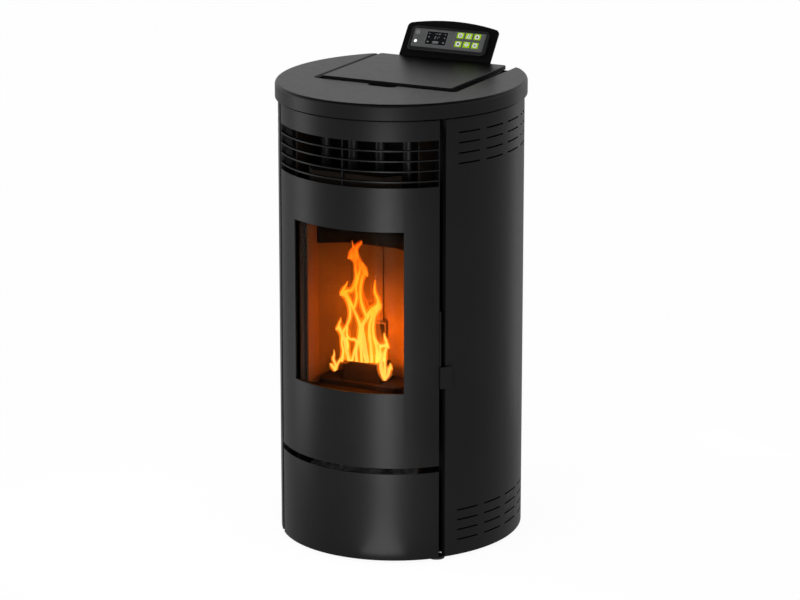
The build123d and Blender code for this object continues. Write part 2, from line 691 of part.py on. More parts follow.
with BuildPart() as frame_posts:
    for side in (-1, 1):
        for (x, y), turn in ((POST_FRONT, 1), (POST_BACK, -1)):
            outer_x = side * (x + POST / 2)
            inner_x = side * (x - POST / 2)
            with BuildSketch(level(BASE_Z + BASE_T)):
                add(rect(min(outer_x, inner_x), max(outer_x, inner_x), y - POST / 2, y + POST / 2))
                x0 = min(outer_x, inner_x) + (POST_T if side < 0 else -POST_T)
                x1 = max(outer_x, inner_x) + (POST_T if side < 0 else -POST_T)
                y0 = y - POST / 2 + turn * POST_T
                y1 = y + POST / 2 + turn * POST_T
                add(rect(x0, x1, y0, y1), mode=Mode.SUBTRACT)
            extrude(amount=TOP_Z - TOP_SHEET - BASE_Z - BASE_T)
finish(frame_posts.part, "frame_posts")

# --- Levelling feet ---------------------------------------------------------------------
FEET = {
    "levelling_foot_front_left": (-FOOT_FRONT[0], FOOT_FRONT[1]),
    "levelling_foot_front_right": FOOT_FRONT,
    "levelling_foot_rear_left": (-FOOT_BACK[0], FOOT_BACK[1]),
    "levelling_foot_rear_right": FOOT_BACK,
}
for foot_name, foot_place in FEET.items():
    with BuildPart() as levelling_foot:
        with BuildSketch(level(0)):
            with Locations(foot_place):
                Circle(FOOT_R)
        extrude(amount=FOOT_T)
        chamfer(levelling_foot.edges().group_by(Axis.Z)[-1], length=FOOT_T / 3)
        with BuildSketch(level(FOOT_T)):
            with Locations(foot_place):
                Circle(FOOT_STUD_R)
        extrude(amount=FOOT_STUD_TOP - FOOT_T)
    finish(levelling_foot.part, foot_name)

# --- Side panels ------------------------------------------------------------------------
with BuildPart() as side_panel_right:
    with BuildSketch(level(FLOOR_GAP)):
        add(casing_plan(0))
        add(casing_plan(SHEET), mode=Mode.SUBTRACT)
        with BuildSketch(mode=Mode.PRIVATE) as side_region:
            with BuildLine():
                Polyline(
                    (0, 0),
                    on_front(SIDE_EDGE_ANGLE, FAR),
                    (FAR, FAR),
                    (BACK_SEAM_X, FAR),
                    (BACK_SEAM_X, 0),
                    close=True,
                )
            make_face()
        add(side_region.sketch, mode=Mode.INTERSECT)
        add(arc_band((0, 0), FRONT_R - SIDE_FLANGE, FRONT_R, -90 + SIDE_EDGE_ANGLE, SHEET_ANGLE))
        lip_x = BACK_SEAM_X - SEAM_LIP
        add(rect(lip_x, BACK_SEAM_X + 2 * SHEET, REAR_INNER - SHEET, REAR_INNER))
    extrude(amount=PANEL_TOP - FLOOR_GAP)
    with BuildSketch(facing(REAR_INNER)):
        with Locations(*[(SCREW_X, z) for z in SCREW_Z]):
            Circle(SCREW_R + PIN_PLAY)
    extrude(amount=2 * SHEET, mode=Mode.SUBTRACT)
    for set_z in (VENT_BOTTOM_Z, VENT_TOP_Z):
        for row in range(VENT_ROWS):
            with BuildSketch(level(set_z + row * VENT_PITCH_Z)):
                for column in range(VENT_COLUMNS):
                    middle = VENT_FIRST_ANGLE + column * VENT_PITCH_ANGLE
                    add(
                        arc_band(
                            (-SIDE_CX, SIDE_CY),
                            SIDE_R - 3 * SHEET,
                            SIDE_R + 3 * SHEET,
                            middle - VENT_ANGLE / 2,
                            VENT_ANGLE,
                        )
                    )
            extrude(amount=VENT_H, mode=Mode.SUBTRACT)
finish(side_panel_right.part, "side_panel_right")

with BuildPart() as side_panel_left:
    mirror(side_panel_right.part, about=Plane.YZ)
finish(side_panel_left.part, "side_panel_left")

# --- Rear panel and its screws ----------------------------------------------------------
with BuildPart() as rear_panel:
    seam = BACK_SEAM_X - FIT
    with BuildSketch(facing(REAR_INNER)):
        add(rect(-seam, seam, REAR_Z0, PANEL_TOP))
        add(rect(-REAR_TONGUE_HALF, REAR_TONGUE_HALF, PANEL_TOP, REAR_TONGUE_Z))
        with Locations((FLUE_X, FLUE_Z)):
            Circle(FLUE_R + PORT_CLEAR, mode=Mode.SUBTRACT)
        with Locations((AIR_PIPE_X, AIR_PIPE_Z)):
            Circle(AIR_PIPE_R + PORT_CLEAR, mode=Mode.SUBTRACT)
        inlet_w = INLET_W / 2 - INLET_PLATE
        inlet_h = INLET_H / 2 - INLET_PLATE
        add(
            rect(INLET_X - inlet_w, INLET_X + inlet_w, INLET_Z - inlet_h, INLET_Z + inlet_h),
            mode=Mode.SUBTRACT,
        )
        with Locations((INTAKE_X, BLOWER_Z)):
            with GridLocations(0, INTAKE_PITCH, 1, INTAKE_SLOTS):
                SlotOverall(INTAKE_W, INTAKE_H, mode=Mode.SUBTRACT)
        with Locations(*[(side * SCREW_X, z) for side in (-1, 1) for z in SCREW_Z]):
            Circle(SCREW_R + PIN_PLAY, mode=Mode.SUBTRACT)
    extrude(amount=-SHEET)
finish(rear_panel.part, "rear_panel")

with BuildPart() as rear_panel_screws:
    with BuildSketch(facing(BACK_Y)):
        with Locations(*[(side * SCREW_X, z) for side in (-1, 1) for z in SCREW_Z]):
            Circle(SCREW_HEAD_R)
    extrude(amount=-SCREW_HEAD_T)
    fillet(rear_panel_screws.edges().group_by(Axis.Y)[-1], radius=SCREW_HEAD_T / 2)
    with BuildSketch(facing(BACK_Y)):
        with Locations(*[(side * SCREW_X, z) for side in (-1, 1) for z in SCREW_Z]):
            Circle(SCREW_R)
    extrude(amount=SCREW_LENGTH)
    with BuildSketch(facing(BACK_Y + SCREW_HEAD_T)):
        with Locations(*[(side * SCREW_X, z) for side in (-1, 1) for z in SCREW_Z]):
            RegularPolygon(SCREW_R, 6)
    extrude(amount=SCREW_HEAD_T / 2, mode=Mode.SUBTRACT)
finish(rear_panel_screws.part, "rear_panel_screws")

# --- Top plate --------------------------------------------------------------------------
with BuildPart() as top_plate:
    with BuildSketch(level(SEAM_Z)):
        add(casing_plan(-RIM_OVERHANG))
        add(lid_cut(0), mode=Mode.SUBTRACT)
    extrude(amount=RIM_H)
    fillet(top_plate.faces().sort_by(Axis.Z)[-1].edges(), radius=RIM_ROUND)
    with BuildSketch(level(SEAM_Z)):
        add(casing_plan(TOP_SHEET - RIM_OVERHANG))
    extrude(amount=RIM_H - CUT_FLANGE, mode=Mode.SUBTRACT)
    with BuildSketch(level(TOP_Z - CUT_FLANGE)):
        add(casing_plan(TOP_SHEET - RIM_OVERHANG))
        add(lid_cut(TOP_SHEET), mode=Mode.SUBTRACT)
    extrude(amount=CUT_FLANGE - TOP_SHEET, mode=Mode.SUBTRACT)
finish(top_plate.part, "top_plate")

# --- Hopper lid -------------------------------------------------------------------------
LID_SKIN_Z = LID_Z - LID_SHEET
LID_AXIS_Z = LID_SKIN_Z - LID_AXIS_DROP
LID_EYE_R = LID_AXIS_DROP
BRACKET_EYE_R = LID_EYE_R - FIT
with BuildPart() as hopper_lid:
    with BuildSketch(level(LID_Z - LID_DEPTH)):
        add(rect(-LID_HALF, LID_HALF, LID_FRONT, LID_BACK))
    extrude(amount=LID_DEPTH)
    fillet(hopper_lid.edges().filter_by(Axis.Z), radius=LID_CORNER_R)
    fillet(hopper_lid.faces().sort_by(Axis.Z)[-1].edges(), radius=LID_EDGE_ROUND)
    with BuildSketch(level(LID_Z - LID_DEPTH)):
        inner = LID_HALF - LID_SHEET
        add(rect(-inner, inner, LID_FRONT + LID_SHEET, LID_BACK + LID_SHEET))
    extrude(amount=LID_DEPTH - LID_SHEET, mode=Mode.SUBTRACT)
    for side in (-1, 1):
        with BuildSketch(across(side * LID_EAR_X)):
            with Locations((LID_AXIS_Y, LID_AXIS_Z)):
                Circle(LID_EYE_R)
            add(rect(LID_AXIS_Y - LID_EYE_R, LID_AXIS_Y + LID_EYE_R, LID_AXIS_Z, LID_SKIN_Z))
            with Locations((LID_AXIS_Y, LID_AXIS_Z)):
                Circle(LID_PIN_R + PIN_PLAY, mode=Mode.SUBTRACT)
        extrude(amount=side * LID_EAR_T)
finish(hopper_lid.part, "hopper_lid")

with BuildPart() as lid_hinge_brackets:
    for side in (-1, 1):
        plate_x = LID_EAR_X + LID_EAR_T + FIT
        with BuildSketch(across(side * plate_x)):
            with Locations((LID_AXIS_Y, LID_AXIS_Z)):
                Circle(BRACKET_EYE_R)
            foot_top = LID_AXIS_Z - POST / 2
            add(rect(HOPPER_Y1, LID_AXIS_Y + BRACKET_EYE_R, LID_AXIS_Z - 2 * POST, foot_top))
            arm = BRACKET_EYE_R - LID_ARM_SLIM
            add(rect(LID_AXIS_Y - arm, LID_AXIS_Y + arm, LID_AXIS_Z - POST, LID_AXIS_Z))
        extrude(amount=side * LID_EAR_T)
        with BuildSketch(across(side * plate_x)):
            with Locations((LID_AXIS_Y, LID_AXIS_Z)):
                Circle(LID_PIN_R)
        extrude(amount=-side * (LID_EAR_T + 2 * FIT))
finish(lid_hinge_brackets.part, "lid_hinge_brackets")

# --- Hopper, its seal and its grate -----------------------------------------------------
AUGER_PLANE = Plane(
    origin=(0, AXIS_Y + AUGER_LOW[0], AUGER_LOW[1]),
    x_dir=(1, 0, 0),
    z_dir=(0, -cos(radians(AUGER_SLOPE)), sin(radians(AUGER_SLOPE))),
)
with BuildPart() as hopper:
    for shrink, mode in ((0, Mode.ADD), (HOPPER_SHEET, Mode.SUBTRACT)):
        half = HOPPER_HALF - shrink
        throat = THROAT_HALF - shrink
        with BuildSketch(level(HOPPER_KNEE_Z)):
            add(rect(-half, half, HOPPER_Y0 + shrink, HOPPER_Y1 - shrink))
        extrude(amount=HOPPER_TOP_Z - HOPPER_KNEE_Z, mode=mode)
        with BuildSketch(level(HOPPER_KNEE_Z)):
            add(rect(-half, half, HOPPER_Y0 + shrink, HOPPER_Y1 - shrink))
        with BuildSketch(level(THROAT_Z)):
            add(rect(-throat, throat, THROAT_Y - throat, THROAT_Y + throat))
        loft(ruled=True, mode=mode)
        with BuildSketch(level(THROAT_Z)):
            add(rect(-throat, throat, THROAT_Y - throat, THROAT_Y + throat))
        extrude(amount=AUGER_LOW[1] - THROAT_Z, mode=mode)
    with BuildSketch(level(HOPPER_TOP_Z - HOPPER_SHEET)):
        half = HOPPER_HALF + HOPPER_RIM
        add(rect(-half, half, HOPPER_Y0 - HOPPER_RIM, HOPPER_Y1 + HOPPER_RIM / 2))
        half = HOPPER_HALF - HOPPER_SHEET
        add(
            rect(-half, half, HOPPER_Y0 + HOPPER_SHEET, HOPPER_Y1 - HOPPER_SHEET),
            mode=Mode.SUBTRACT,
        )
    extrude(amount=HOPPER_SHEET)
    with BuildSketch(AUGER_PLANE.offset(-AUGER_LENGTH)):
        Circle(AUGER_TUBE_R + FIT)
        add(rect(-FAR, FAR, -FAR, 0))
    extrude(amount=3 * AUGER_LENGTH, mode=Mode.SUBTRACT)
finish(hopper.part, "hopper")

with BuildPart() as hopper_seal:
    with BuildSketch(level(HOPPER_TOP_Z)):
        half = HOPPER_HALF + HOPPER_RIM
        add(rect(-half, half, HOPPER_Y0 - HOPPER_RIM, HOPPER_Y1 + HOPPER_RIM / 2))
        add(
            rect(
                -half + SEAL_W,
                half - SEAL_W,
                HOPPER_Y0 - HOPPER_RIM + SEAL_W,
                HOPPER_Y1 + HOPPER_RIM / 2 - SEAL_W,
            ),
            mode=Mode.SUBTRACT,
        )
    extrude(amount=LID_SKIN_Z - FIT - HOPPER_TOP_Z)
    fillet(hopper_seal.faces().sort_by(Axis.Z)[-1].edges(), radius=SEAL_W / 4)
finish(hopper_seal.part, "hopper_seal")

with BuildPart() as hopper_grate:
    with BuildSketch(facing(HOPPER_Y1 - HOPPER_SHEET)):
        with Locations((0, GRATE_Z)):
            with GridLocations(GRATE_PITCH, 0, GRATE_BARS, 1):
                Circle(GRATE_BAR_R)
    extrude(amount=HOPPER_Y1 - HOPPER_Y0 - 2 * HOPPER_SHEET)
finish(hopper_grate.part, "hopper_grate")

# --- Auger ------------------------------------------------------------------------------
CHUTE_RUN = Vector(0, CHUTE_END[0] - CHUTE_START[0], CHUTE_END[1] - CHUTE_START[1])
CHUTE_PLANE = Plane(
    origin=(0, AXIS_Y + CHUTE_START[0], CHUTE_START[1]),
    x_dir=(1, 0, 0),
    z_dir=CHUTE_RUN.normalized(),
)
with BuildPart() as auger_tube:
    with BuildSketch(AUGER_PLANE):
        Circle(AUGER_TUBE_R)
    extrude(amount=AUGER_LENGTH)
    with BuildSketch(CHUTE_PLANE):
        Rectangle(2 * (CHUTE_HALF + CHUTE_WALL), 2 * (CHUTE_HALF + CHUTE_WALL))
    extrude(amount=CHUTE_RUN.length)
    with BuildSketch(AUGER_PLANE.offset(AUGER_TUBE_WALL)):
        Circle(AUGER_TUBE_R - AUGER_TUBE_WALL)
    extrude(amount=AUGER_LENGTH - 2 * AUGER_TUBE_WALL, mode=Mode.SUBTRACT)
    with BuildSketch(CHUTE_PLANE):
        Rectangle(2 * CHUTE_HALF, 2 * CHUTE_HALF)
    extrude(amount=CHUTE_RUN.length, mode=Mode.SUBTRACT)
    with BuildSketch(AUGER_PLANE.offset(AUGER_INLET_S[0])):
        add(rect(-AUGER_INLET_HALF, AUGER_INLET_HALF, 0, AUGER_TUBE_R + AUGER_TUBE_WALL))
    extrude(amount=AUGER_INLET_S[1] - AUGER_INLET_S[0], mode=Mode.SUBTRACT)
    with BuildSketch(AUGER_PLANE):
        Circle(AUGER_SHAFT_R + PIN_PLAY)
    extrude(amount=AUGER_TUBE_WALL, mode=Mode.SUBTRACT)
    with BuildSketch(facing(CHUTE_LIP_Y)):
        add(rect(-FAR, FAR, 0, FAR))
    extrude(amount=FAR, mode=Mode.SUBTRACT)
finish(auger_tube.part, "auger_tube")

FLIGHT_START = 3 * AUGER_TUBE_WALL
FLIGHT_LENGTH = AUGER_LENGTH - 2 * FLIGHT_START - AUGER_FLIGHT
FLIGHT_W = AUGER_R - AUGER_SHAFT_R + FLIGHT_BITE
with BuildPart() as auger_screw:
    with BuildSketch(AUGER_PLANE.offset(-GEARBOX_L / 2)):
        Circle(AUGER_SHAFT_R)
    extrude(amount=AUGER_LENGTH - FLIGHT_START + GEARBOX_L / 2)
    with BuildPart(mode=Mode.PRIVATE) as flight:
        with BuildLine() as flight_path:
            Helix(AUGER_PITCH, FLIGHT_LENGTH, AUGER_R - FLIGHT_W / 2)
        with BuildSketch(
            Plane(origin=flight_path.line @ 0, x_dir=(1, 0, 0), z_dir=flight_path.line % 0)
        ):
            Rectangle(FLIGHT_W, AUGER_FLIGHT)
        sweep(path=flight_path.line, is_frenet=True)
    add(AUGER_PLANE.offset(FLIGHT_START + AUGER_FLIGHT).location * flight.part)
finish(auger_screw.part, "auger_screw")

with BuildPart() as auger_motor:
    with BuildSketch(AUGER_PLANE.offset(-FIT)):
        RectangleRounded(GEARBOX, GEARBOX, GEARBOX_CORNER_R)
    extrude(amount=-GEARBOX_L)
    with BuildSketch(AUGER_PLANE.offset(-FIT)):
        Circle(AUGER_SHAFT_R + PIN_PLAY)
    extrude(amount=FIT - GEARBOX_L / 2 - SHAFT_END_GAP, mode=Mode.SUBTRACT)
    with BuildSketch(AUGER_PLANE.offset(-FIT - GEARBOX_L)):
        Circle(GEAR_MOTOR_R)
    extrude(amount=-GEAR_MOTOR_L)
finish(auger_motor.part, "auger_motor")

# --- Firebox ----------------------------------------------------------------------------
IGNITER_Z = POT_Z0 + IGNITER_RISE
KEEPER_PLANE = Plane(
    origin=(
        on_front(DOOR_HALF_ANGLE, FRONT_R)[0],
        AXIS_Y + on_front(DOOR_HALF_ANGLE, FRONT_R)[1],
        0,
    ),
    x_dir=(-sin(radians(DOOR_HALF_ANGLE)), cos(radians(DOOR_HALF_ANGLE)), 0),
    z_dir=(cos(radians(DOOR_HALF_ANGLE)), sin(radians(DOOR_HALF_ANGLE)), 0),
)
KEEPER_PLATE_X = KEEPER_PLANE.offset(-KEEPER_PLATE_BACK).origin.X
KEEPER_PLATE_END = FIREBOX_STEEL + (KEEPER_PLATE_X - SHELL_OUT) / sin(radians(DOOR_HALF_ANGLE))
TUBE_PLACES = [(TUBE_PITCH * (i - (TUBE_COUNT - 1) / 2), TUBE_Y) for i in range(TUBE_COUNT)]
ROOF_TUBES = [place for place in TUBE_PLACES if abs(place[0]) < SHELL_HALF - TUBE_R]

with BuildPart() as firebox_shell:
    with BuildSketch(level(PLENUM_Z0)):
        add(rect(-SHELL_OUT, SHELL_OUT, FIREBOX_FRONT, SHELL_BACK + FIREBOX_STEEL))
    extrude(amount=CHAMBER_Z1 + FIREBOX_STEEL - PLENUM_Z0)
    with BuildSketch(level(BASE_Z + BASE_T)):
        for side in (-1, 1):
            plate_x = side * (SHELL_HALF + FIREBOX_STEEL / 2)
            plate_y = (FIREBOX_FRONT + FIREBOX_STEEL + SHELL_BACK + FIREBOX_STEEL) / 2
            with Locations((plate_x, plate_y)):
                Rectangle(FIREBOX_STEEL, SHELL_BACK - FIREBOX_FRONT)
    extrude(amount=COLLECTOR_Z0 - BASE_Z - BASE_T)
    with BuildSketch(level(CHAMBER_Z0)):
        add(rect(-SHELL_HALF, SHELL_HALF, FIREBOX_FRONT + FIREBOX_STEEL, SHELL_BACK))
    extrude(amount=CHAMBER_Z1 - CHAMBER_Z0, mode=Mode.SUBTRACT)
    with BuildSketch(level(PLENUM_Z0 + FIREBOX_STEEL)):
        add(rect(-SHELL_HALF, SHELL_HALF, FIREBOX_FRONT + FIREBOX_STEEL, SHELL_BACK))
    extrude(amount=CHAMBER_Z0 - 2 * FIREBOX_STEEL - PLENUM_Z0, mode=Mode.SUBTRACT)
    with BuildSketch(facing(FIREBOX_FRONT + FIREBOX_STEEL)):
        half = RIM_FLANGE_HALF
        add(rect(-half, half, WINDOW_Z0 - FRAME_MARGIN_Z, WINDOW_Z1 + FRAME_MARGIN_Z))
    extrude(amount=FIREBOX_STEEL)
    with BuildSketch(facing(FIREBOX_FRONT)):
        add(rect(-RIM_OPEN_HALF, RIM_OPEN_HALF, CHAMBER_Z0, WINDOW_Z1 + FRAME_OPEN_MARGIN))
    extrude(amount=-FIREBOX_STEEL, mode=Mode.SUBTRACT)
    with BuildSketch(level(ASH_DUCT_Z0)):
        duct = ASH_DUCT_HALF
        add(rect(-duct, duct, ASH_DUCT_Y0, ASH_DUCT_Y1))
        duct = ASH_DUCT_HALF - DUCT_SHEET
        add(
            rect(-duct, duct, ASH_DUCT_Y0 + DUCT_SHEET, ASH_DUCT_Y1 - DUCT_SHEET),
            mode=Mode.SUBTRACT,
        )
    extrude(amount=PLENUM_Z0 - ASH_DUCT_Z0)
    with BuildSketch(level(PLENUM_Z0)):
        add(rect(-duct, duct, ASH_DUCT_Y0 + DUCT_SHEET, ASH_DUCT_Y1 - DUCT_SHEET))
    extrude(amount=FIREBOX_STEEL, mode=Mode.SUBTRACT)
    with BuildSketch(level(CHAMBER_Z0)):
        inner = POT_HALF - POT_WALL
        add(rect(-inner, inner, POT_Y0 + POT_WALL, POT_Y1 - POT_WALL))
    extrude(amount=-FIREBOX_STEEL, mode=Mode.SUBTRACT)
    with BuildSketch(level(CHAMBER_Z1)):
        with Locations(*ROOF_TUBES):
            Circle(TUBE_R - TUBE_WALL)
    extrude(amount=FIREBOX_STEEL, mode=Mode.SUBTRACT)
    with BuildSketch(facing(SHELL_BACK + FIREBOX_STEEL)):
        with Locations((0, IGNITER_Z)):
            Circle(IGNITER_R + PIN_PLAY)
        with Locations((AIR_PIPE_X, AIR_PIPE_Z)):
            Circle(AIR_PIPE_R - AIR_PIPE_WALL)
    extrude(amount=FIREBOX_STEEL, mode=Mode.SUBTRACT)
    with BuildSketch(CHUTE_PLANE):
        Rectangle(2 * (CHUTE_HALF + CHUTE_WALL + FIT), 2 * (CHUTE_HALF + CHUTE_WALL + FIT))
    extrude(amount=CHUTE_RUN.length, mode=Mode.SUBTRACT)
    with BuildSketch(KEEPER_PLANE.offset(-KEEPER_PLATE_BACK)):
        with Locations((KEEPER_DEPTH, KEEPER_Z)):
            Circle(2 * KEEPER_R)
        plate_end = KEEPER_PLATE_END
        add(rect(KEEPER_DEPTH, plate_end, KEEPER_Z - 2 * KEEPER_R, KEEPER_Z + 2 * KEEPER_R))
    extrude(amount=KEEPER_PLATE_T)
    with BuildSketch(KEEPER_PLANE.offset(-KEEPER_PLATE_BACK)):
        with Locations((KEEPER_DEPTH, KEEPER_Z)):
            Circle(KEEPER_R)
    extrude(amount=KEEPER_PLATE_BACK + LEVER_GAP + LEVER_T + KEEPER_PLATE_T / 2)
finish(firebox_shell.part, "firebox_shell")

with BuildPart() as firebox_boards:
    board_h = CHAMBER_Z1 - CHAMBER_Z0
    slope = Vector(JAMB_X - REAR_HALF, REAR_Y - JAMB_BACK)
    back_x = BOARD_T * slope.Y / slope.length
    back_y = BOARD_T * slope.X / slope.length
    for side in (-1, 1):
        inner_x, outer_x = sorted((side * JAMB_X, side * (JAMB_X + BOARD_T)))
        with BuildSketch(level(CHAMBER_Z0)):
            add(rect(inner_x, outer_x, FIREBOX_FRONT + FIREBOX_STEEL, JAMB_BACK))
        extrude(amount=board_h)
        with BuildSketch(level(CHAMBER_Z0)):
            with BuildLine():
                Polyline(
                    (side * (REAR_HALF + FIT), REAR_Y - FIT),
                    (side * JAMB_X, JAMB_BACK + FIT),
                    (side * (JAMB_X + back_x), JAMB_BACK + FIT + back_y),
                    (side * (REAR_HALF + FIT + back_x), REAR_Y - FIT + back_y),
                    close=True,
                )
            make_face()
        extrude(amount=board_h)
    with BuildSketch(level(CHAMBER_Z0)):
        add(rect(-REAR_HALF, REAR_HALF, REAR_Y, REAR_Y + BOARD_T))
        add(rect(-RIB_HALF, RIB_HALF, REAR_Y - RIB_PROUD, REAR_Y))
    extrude(amount=board_h)
    with BuildSketch(facing(REAR_Y + BOARD_T)):
        with Locations((0, IGNITER_Z)):
            Circle(IGNITER_R + PIN_PLAY)
    extrude(amount=BOARD_T + RIB_PROUD, mode=Mode.SUBTRACT)
    with BuildSketch(CHUTE_PLANE):
        Rectangle(2 * (CHUTE_HALF + CHUTE_WALL + FIT), 2 * (CHUTE_HALF + CHUTE_WALL + FIT))
    extrude(amount=CHUTE_RUN.length + BOARD_T, mode=Mode.SUBTRACT)
finish(firebox_boards.part, "firebox_boards")


def chamber_plan(front_y, inset):
    """Chamber's area behind front_y, moved in from the boards."""
    side_x = JAMB_X - FIT - inset
    rear_y = REAR_Y - RIB_PROUD - FIT - inset
    corner_y = JAMB_BACK - FIT - inset / 3
    with BuildSketch() as area:
        with BuildLine():
            Polyline(
                (-side_x, front_y),
                (-side_x, corner_y),
                (inset / 3 - REAR_HALF, rear_y),
                (REAR_HALF - inset / 3, rear_y),
                (side_x, corner_y),
                (side_x, front_y),
                close=True,
            )
        make_face()
    return area.sketch


with BuildPart() as firebox_baffle:
    with BuildSketch(level(BAFFLE_Z0)):
        add(chamber_plan(BAFFLE_FRONT_Y, 0))
    extrude(amount=BAFFLE_LEDGE_H + BAFFLE_T)
    with BuildSketch(level(BAFFLE_Z0)):
        add(chamber_plan(BAFFLE_FRONT_Y, BAFFLE_LEDGE_W))
    extrude(amount=BAFFLE_LEDGE_H, mode=Mode.SUBTRACT)
finish(firebox_baffle.part, "firebox_baffle")

with BuildPart() as burn_pot_tray:
    with BuildSketch(level(CHAMBER_Z0)):
        with Locations((0, (TRAY_Y0 + TRAY_Y1) / 2)):
            RectangleRounded(2 * TRAY_HALF, TRAY_Y1 - TRAY_Y0, TRAY_CORNER_R)
        add(chamber_plan(FIREBOX_FRONT, TRAY_BOARD_GAP), mode=Mode.INTERSECT)
    extrude(amount=TRAY_H)
    fillet(burn_pot_tray.faces().sort_by(Axis.Z)[-1].edges(), radius=TRAY_EDGE_ROUND)
    with BuildSketch(level(POT_Z0)):
        with Locations((0, (POT_Y0 + POT_Y1) / 2)):
            RectangleRounded(2 * POT_HALF + POT_WALL, POT_DEPTH + POT_WALL, POT_CORNER_R + POT_WALL / 2)
    extrude(amount=TRAY_H, mode=Mode.SUBTRACT)
    with BuildSketch(level(CHAMBER_Z0)):
        inner = POT_HALF - POT_WALL
        add(rect(-inner, inner, POT_Y0 + POT_WALL, POT_Y1 - POT_WALL))
    extrude(amount=TRAY_H, mode=Mode.SUBTRACT)
    with BuildSketch(facing(TRAY_Y1)):
        with Locations((0, IGNITER_Z)):
            Circle(IGNITER_R + PIN_PLAY)
    extrude(amount=TRAY_Y1 - POT_Y1, mode=Mode.SUBTRACT)
finish(burn_pot_tray.part, "burn_pot_tray")

with BuildPart() as burn_pot:
    pot_middle = (POT_Y0 + POT_Y1) / 2
    with BuildSketch(level(POT_Z0 + FIT)):
        with Locations((0, pot_middle)):
            RectangleRounded(2 * POT_HALF, POT_DEPTH, POT_CORNER_R)
    extrude(amount=POT_Z1 - POT_Z0 - FIT, taper=POT_TAPER)
    fillet(burn_pot.faces().sort_by(Axis.Z)[-1].edges(), radius=POT_RIM_ROUND)
    with BuildSketch(level(POT_Z0 + FIT + POT_WALL)):
        with Locations((0, pot_middle)):
            wall = 4 * POT_WALL
            RectangleRounded(2 * POT_HALF - wall, POT_DEPTH - wall, POT_CORNER_R / 2)
    extrude(amount=POT_Z1 - POT_Z0, mode=Mode.SUBTRACT)
    with BuildSketch(level(POT_Z0)):
        with Locations((0, pot_middle)):
            with GridLocations(POT_HOLE_PITCH, POT_HOLE_PITCH, POT_HOLE_COLUMNS, POT_HOLE_ROWS):
                Circle(POT_HOLE_R)
    extrude(amount=3 * POT_WALL, mode=Mode.SUBTRACT)
    with BuildSketch(facing(POT_Y1)):
        with Locations((0, IGNITER_Z + 3 * FIT)):
            Circle(IGNITER_R)
    extrude(amount=3 * POT_WALL, mode=Mode.SUBTRACT)
finish(burn_pot.part, "burn_pot")

with BuildPart() as igniter:
    with BuildSketch(facing(POT_Y1 + 3 * FIT)):
        with Locations((0, IGNITER_Z)):
            Circle(IGNITER_R)
    extrude(amount=POT_Y1 - SHELL_BACK - IGNITER_TAIL)
finish(igniter.part, "igniter")

# --- Heat exchanger and smoke duct ------------------------------------------------------
with BuildPart() as heat_exchanger_tubes:
    tube_z0 = CHAMBER_Z1 + FIREBOX_STEEL
    with BuildSketch(level(tube_z0)):
        with Locations(*ROOF_TUBES):
            Circle(TUBE_R)
            Circle(TUBE_R - TUBE_WALL, mode=Mode.SUBTRACT)
    extrude(amount=COLLECTOR_Z0 - tube_z0)
finish(heat_exchanger_tubes.part, "heat_exchanger_tubes")

with BuildPart() as smoke_duct:
    for shrink, mode in ((0, Mode.ADD), (DUCT_SHEET, Mode.SUBTRACT)):
        with BuildSketch(level(COLLECTOR_Z0 + shrink)):
            over_y1 = DUCT_Y0 - shrink
            arm_y0 = COLLECTOR_ARM_Y0 + shrink
            add(rect(shrink - SHELL_OUT, SHELL_OUT - shrink, COLLECTOR_Y0 + shrink, over_y1))
            add(rect(COLLECTOR_ARM_X + shrink, DUCT_X1 - shrink, arm_y0, over_y1))
            add(rect(DUCT_X0 + shrink, DUCT_X1 - shrink, arm_y0, DUCT_Y1 - shrink))
        extrude(amount=COLLECTOR_Z1 - COLLECTOR_Z0 - 2 * shrink, mode=mode)
        with BuildSketch(level(DUCT_FOOT_Z0 + shrink)):
            add(rect(DUCT_X0 + shrink, DUCT_X1 - shrink, DUCT_Y0 + shrink, DUCT_Y1 - shrink))
        extrude(amount=COLLECTOR_Z1 - DUCT_FOOT_Z0 - 2 * shrink, mode=mode)
        with BuildSketch(level(DUCT_FOOT_Z0 + shrink)):
            foot_y1 = DUCT_FOOT_Y1 - shrink
            add(rect(DUCT_X0 + shrink, DUCT_X1 - shrink, DUCT_Y0 + shrink, foot_y1))
            add(rect(FAN_X1 + shrink, DUCT_X1 - shrink, DUCT_FOOT_Y0 + shrink, foot_y1))
        extrude(amount=DUCT_FOOT_Z1 - DUCT_FOOT_Z0 - 2 * shrink, mode=mode)
    with BuildSketch(level(COLLECTOR_Z0)):
        with Locations(*ROOF_TUBES):
            Circle(TUBE_R - TUBE_WALL)
    extrude(amount=DUCT_SHEET, mode=Mode.SUBTRACT)
    with BuildSketch(across(FAN_X1)):
        with Locations((FAN_Y, FAN_Z)):
            Circle(FAN_EYE_R)
    extrude(amount=DUCT_SHEET, mode=Mode.SUBTRACT)
finish(smoke_duct.part, "smoke_duct")

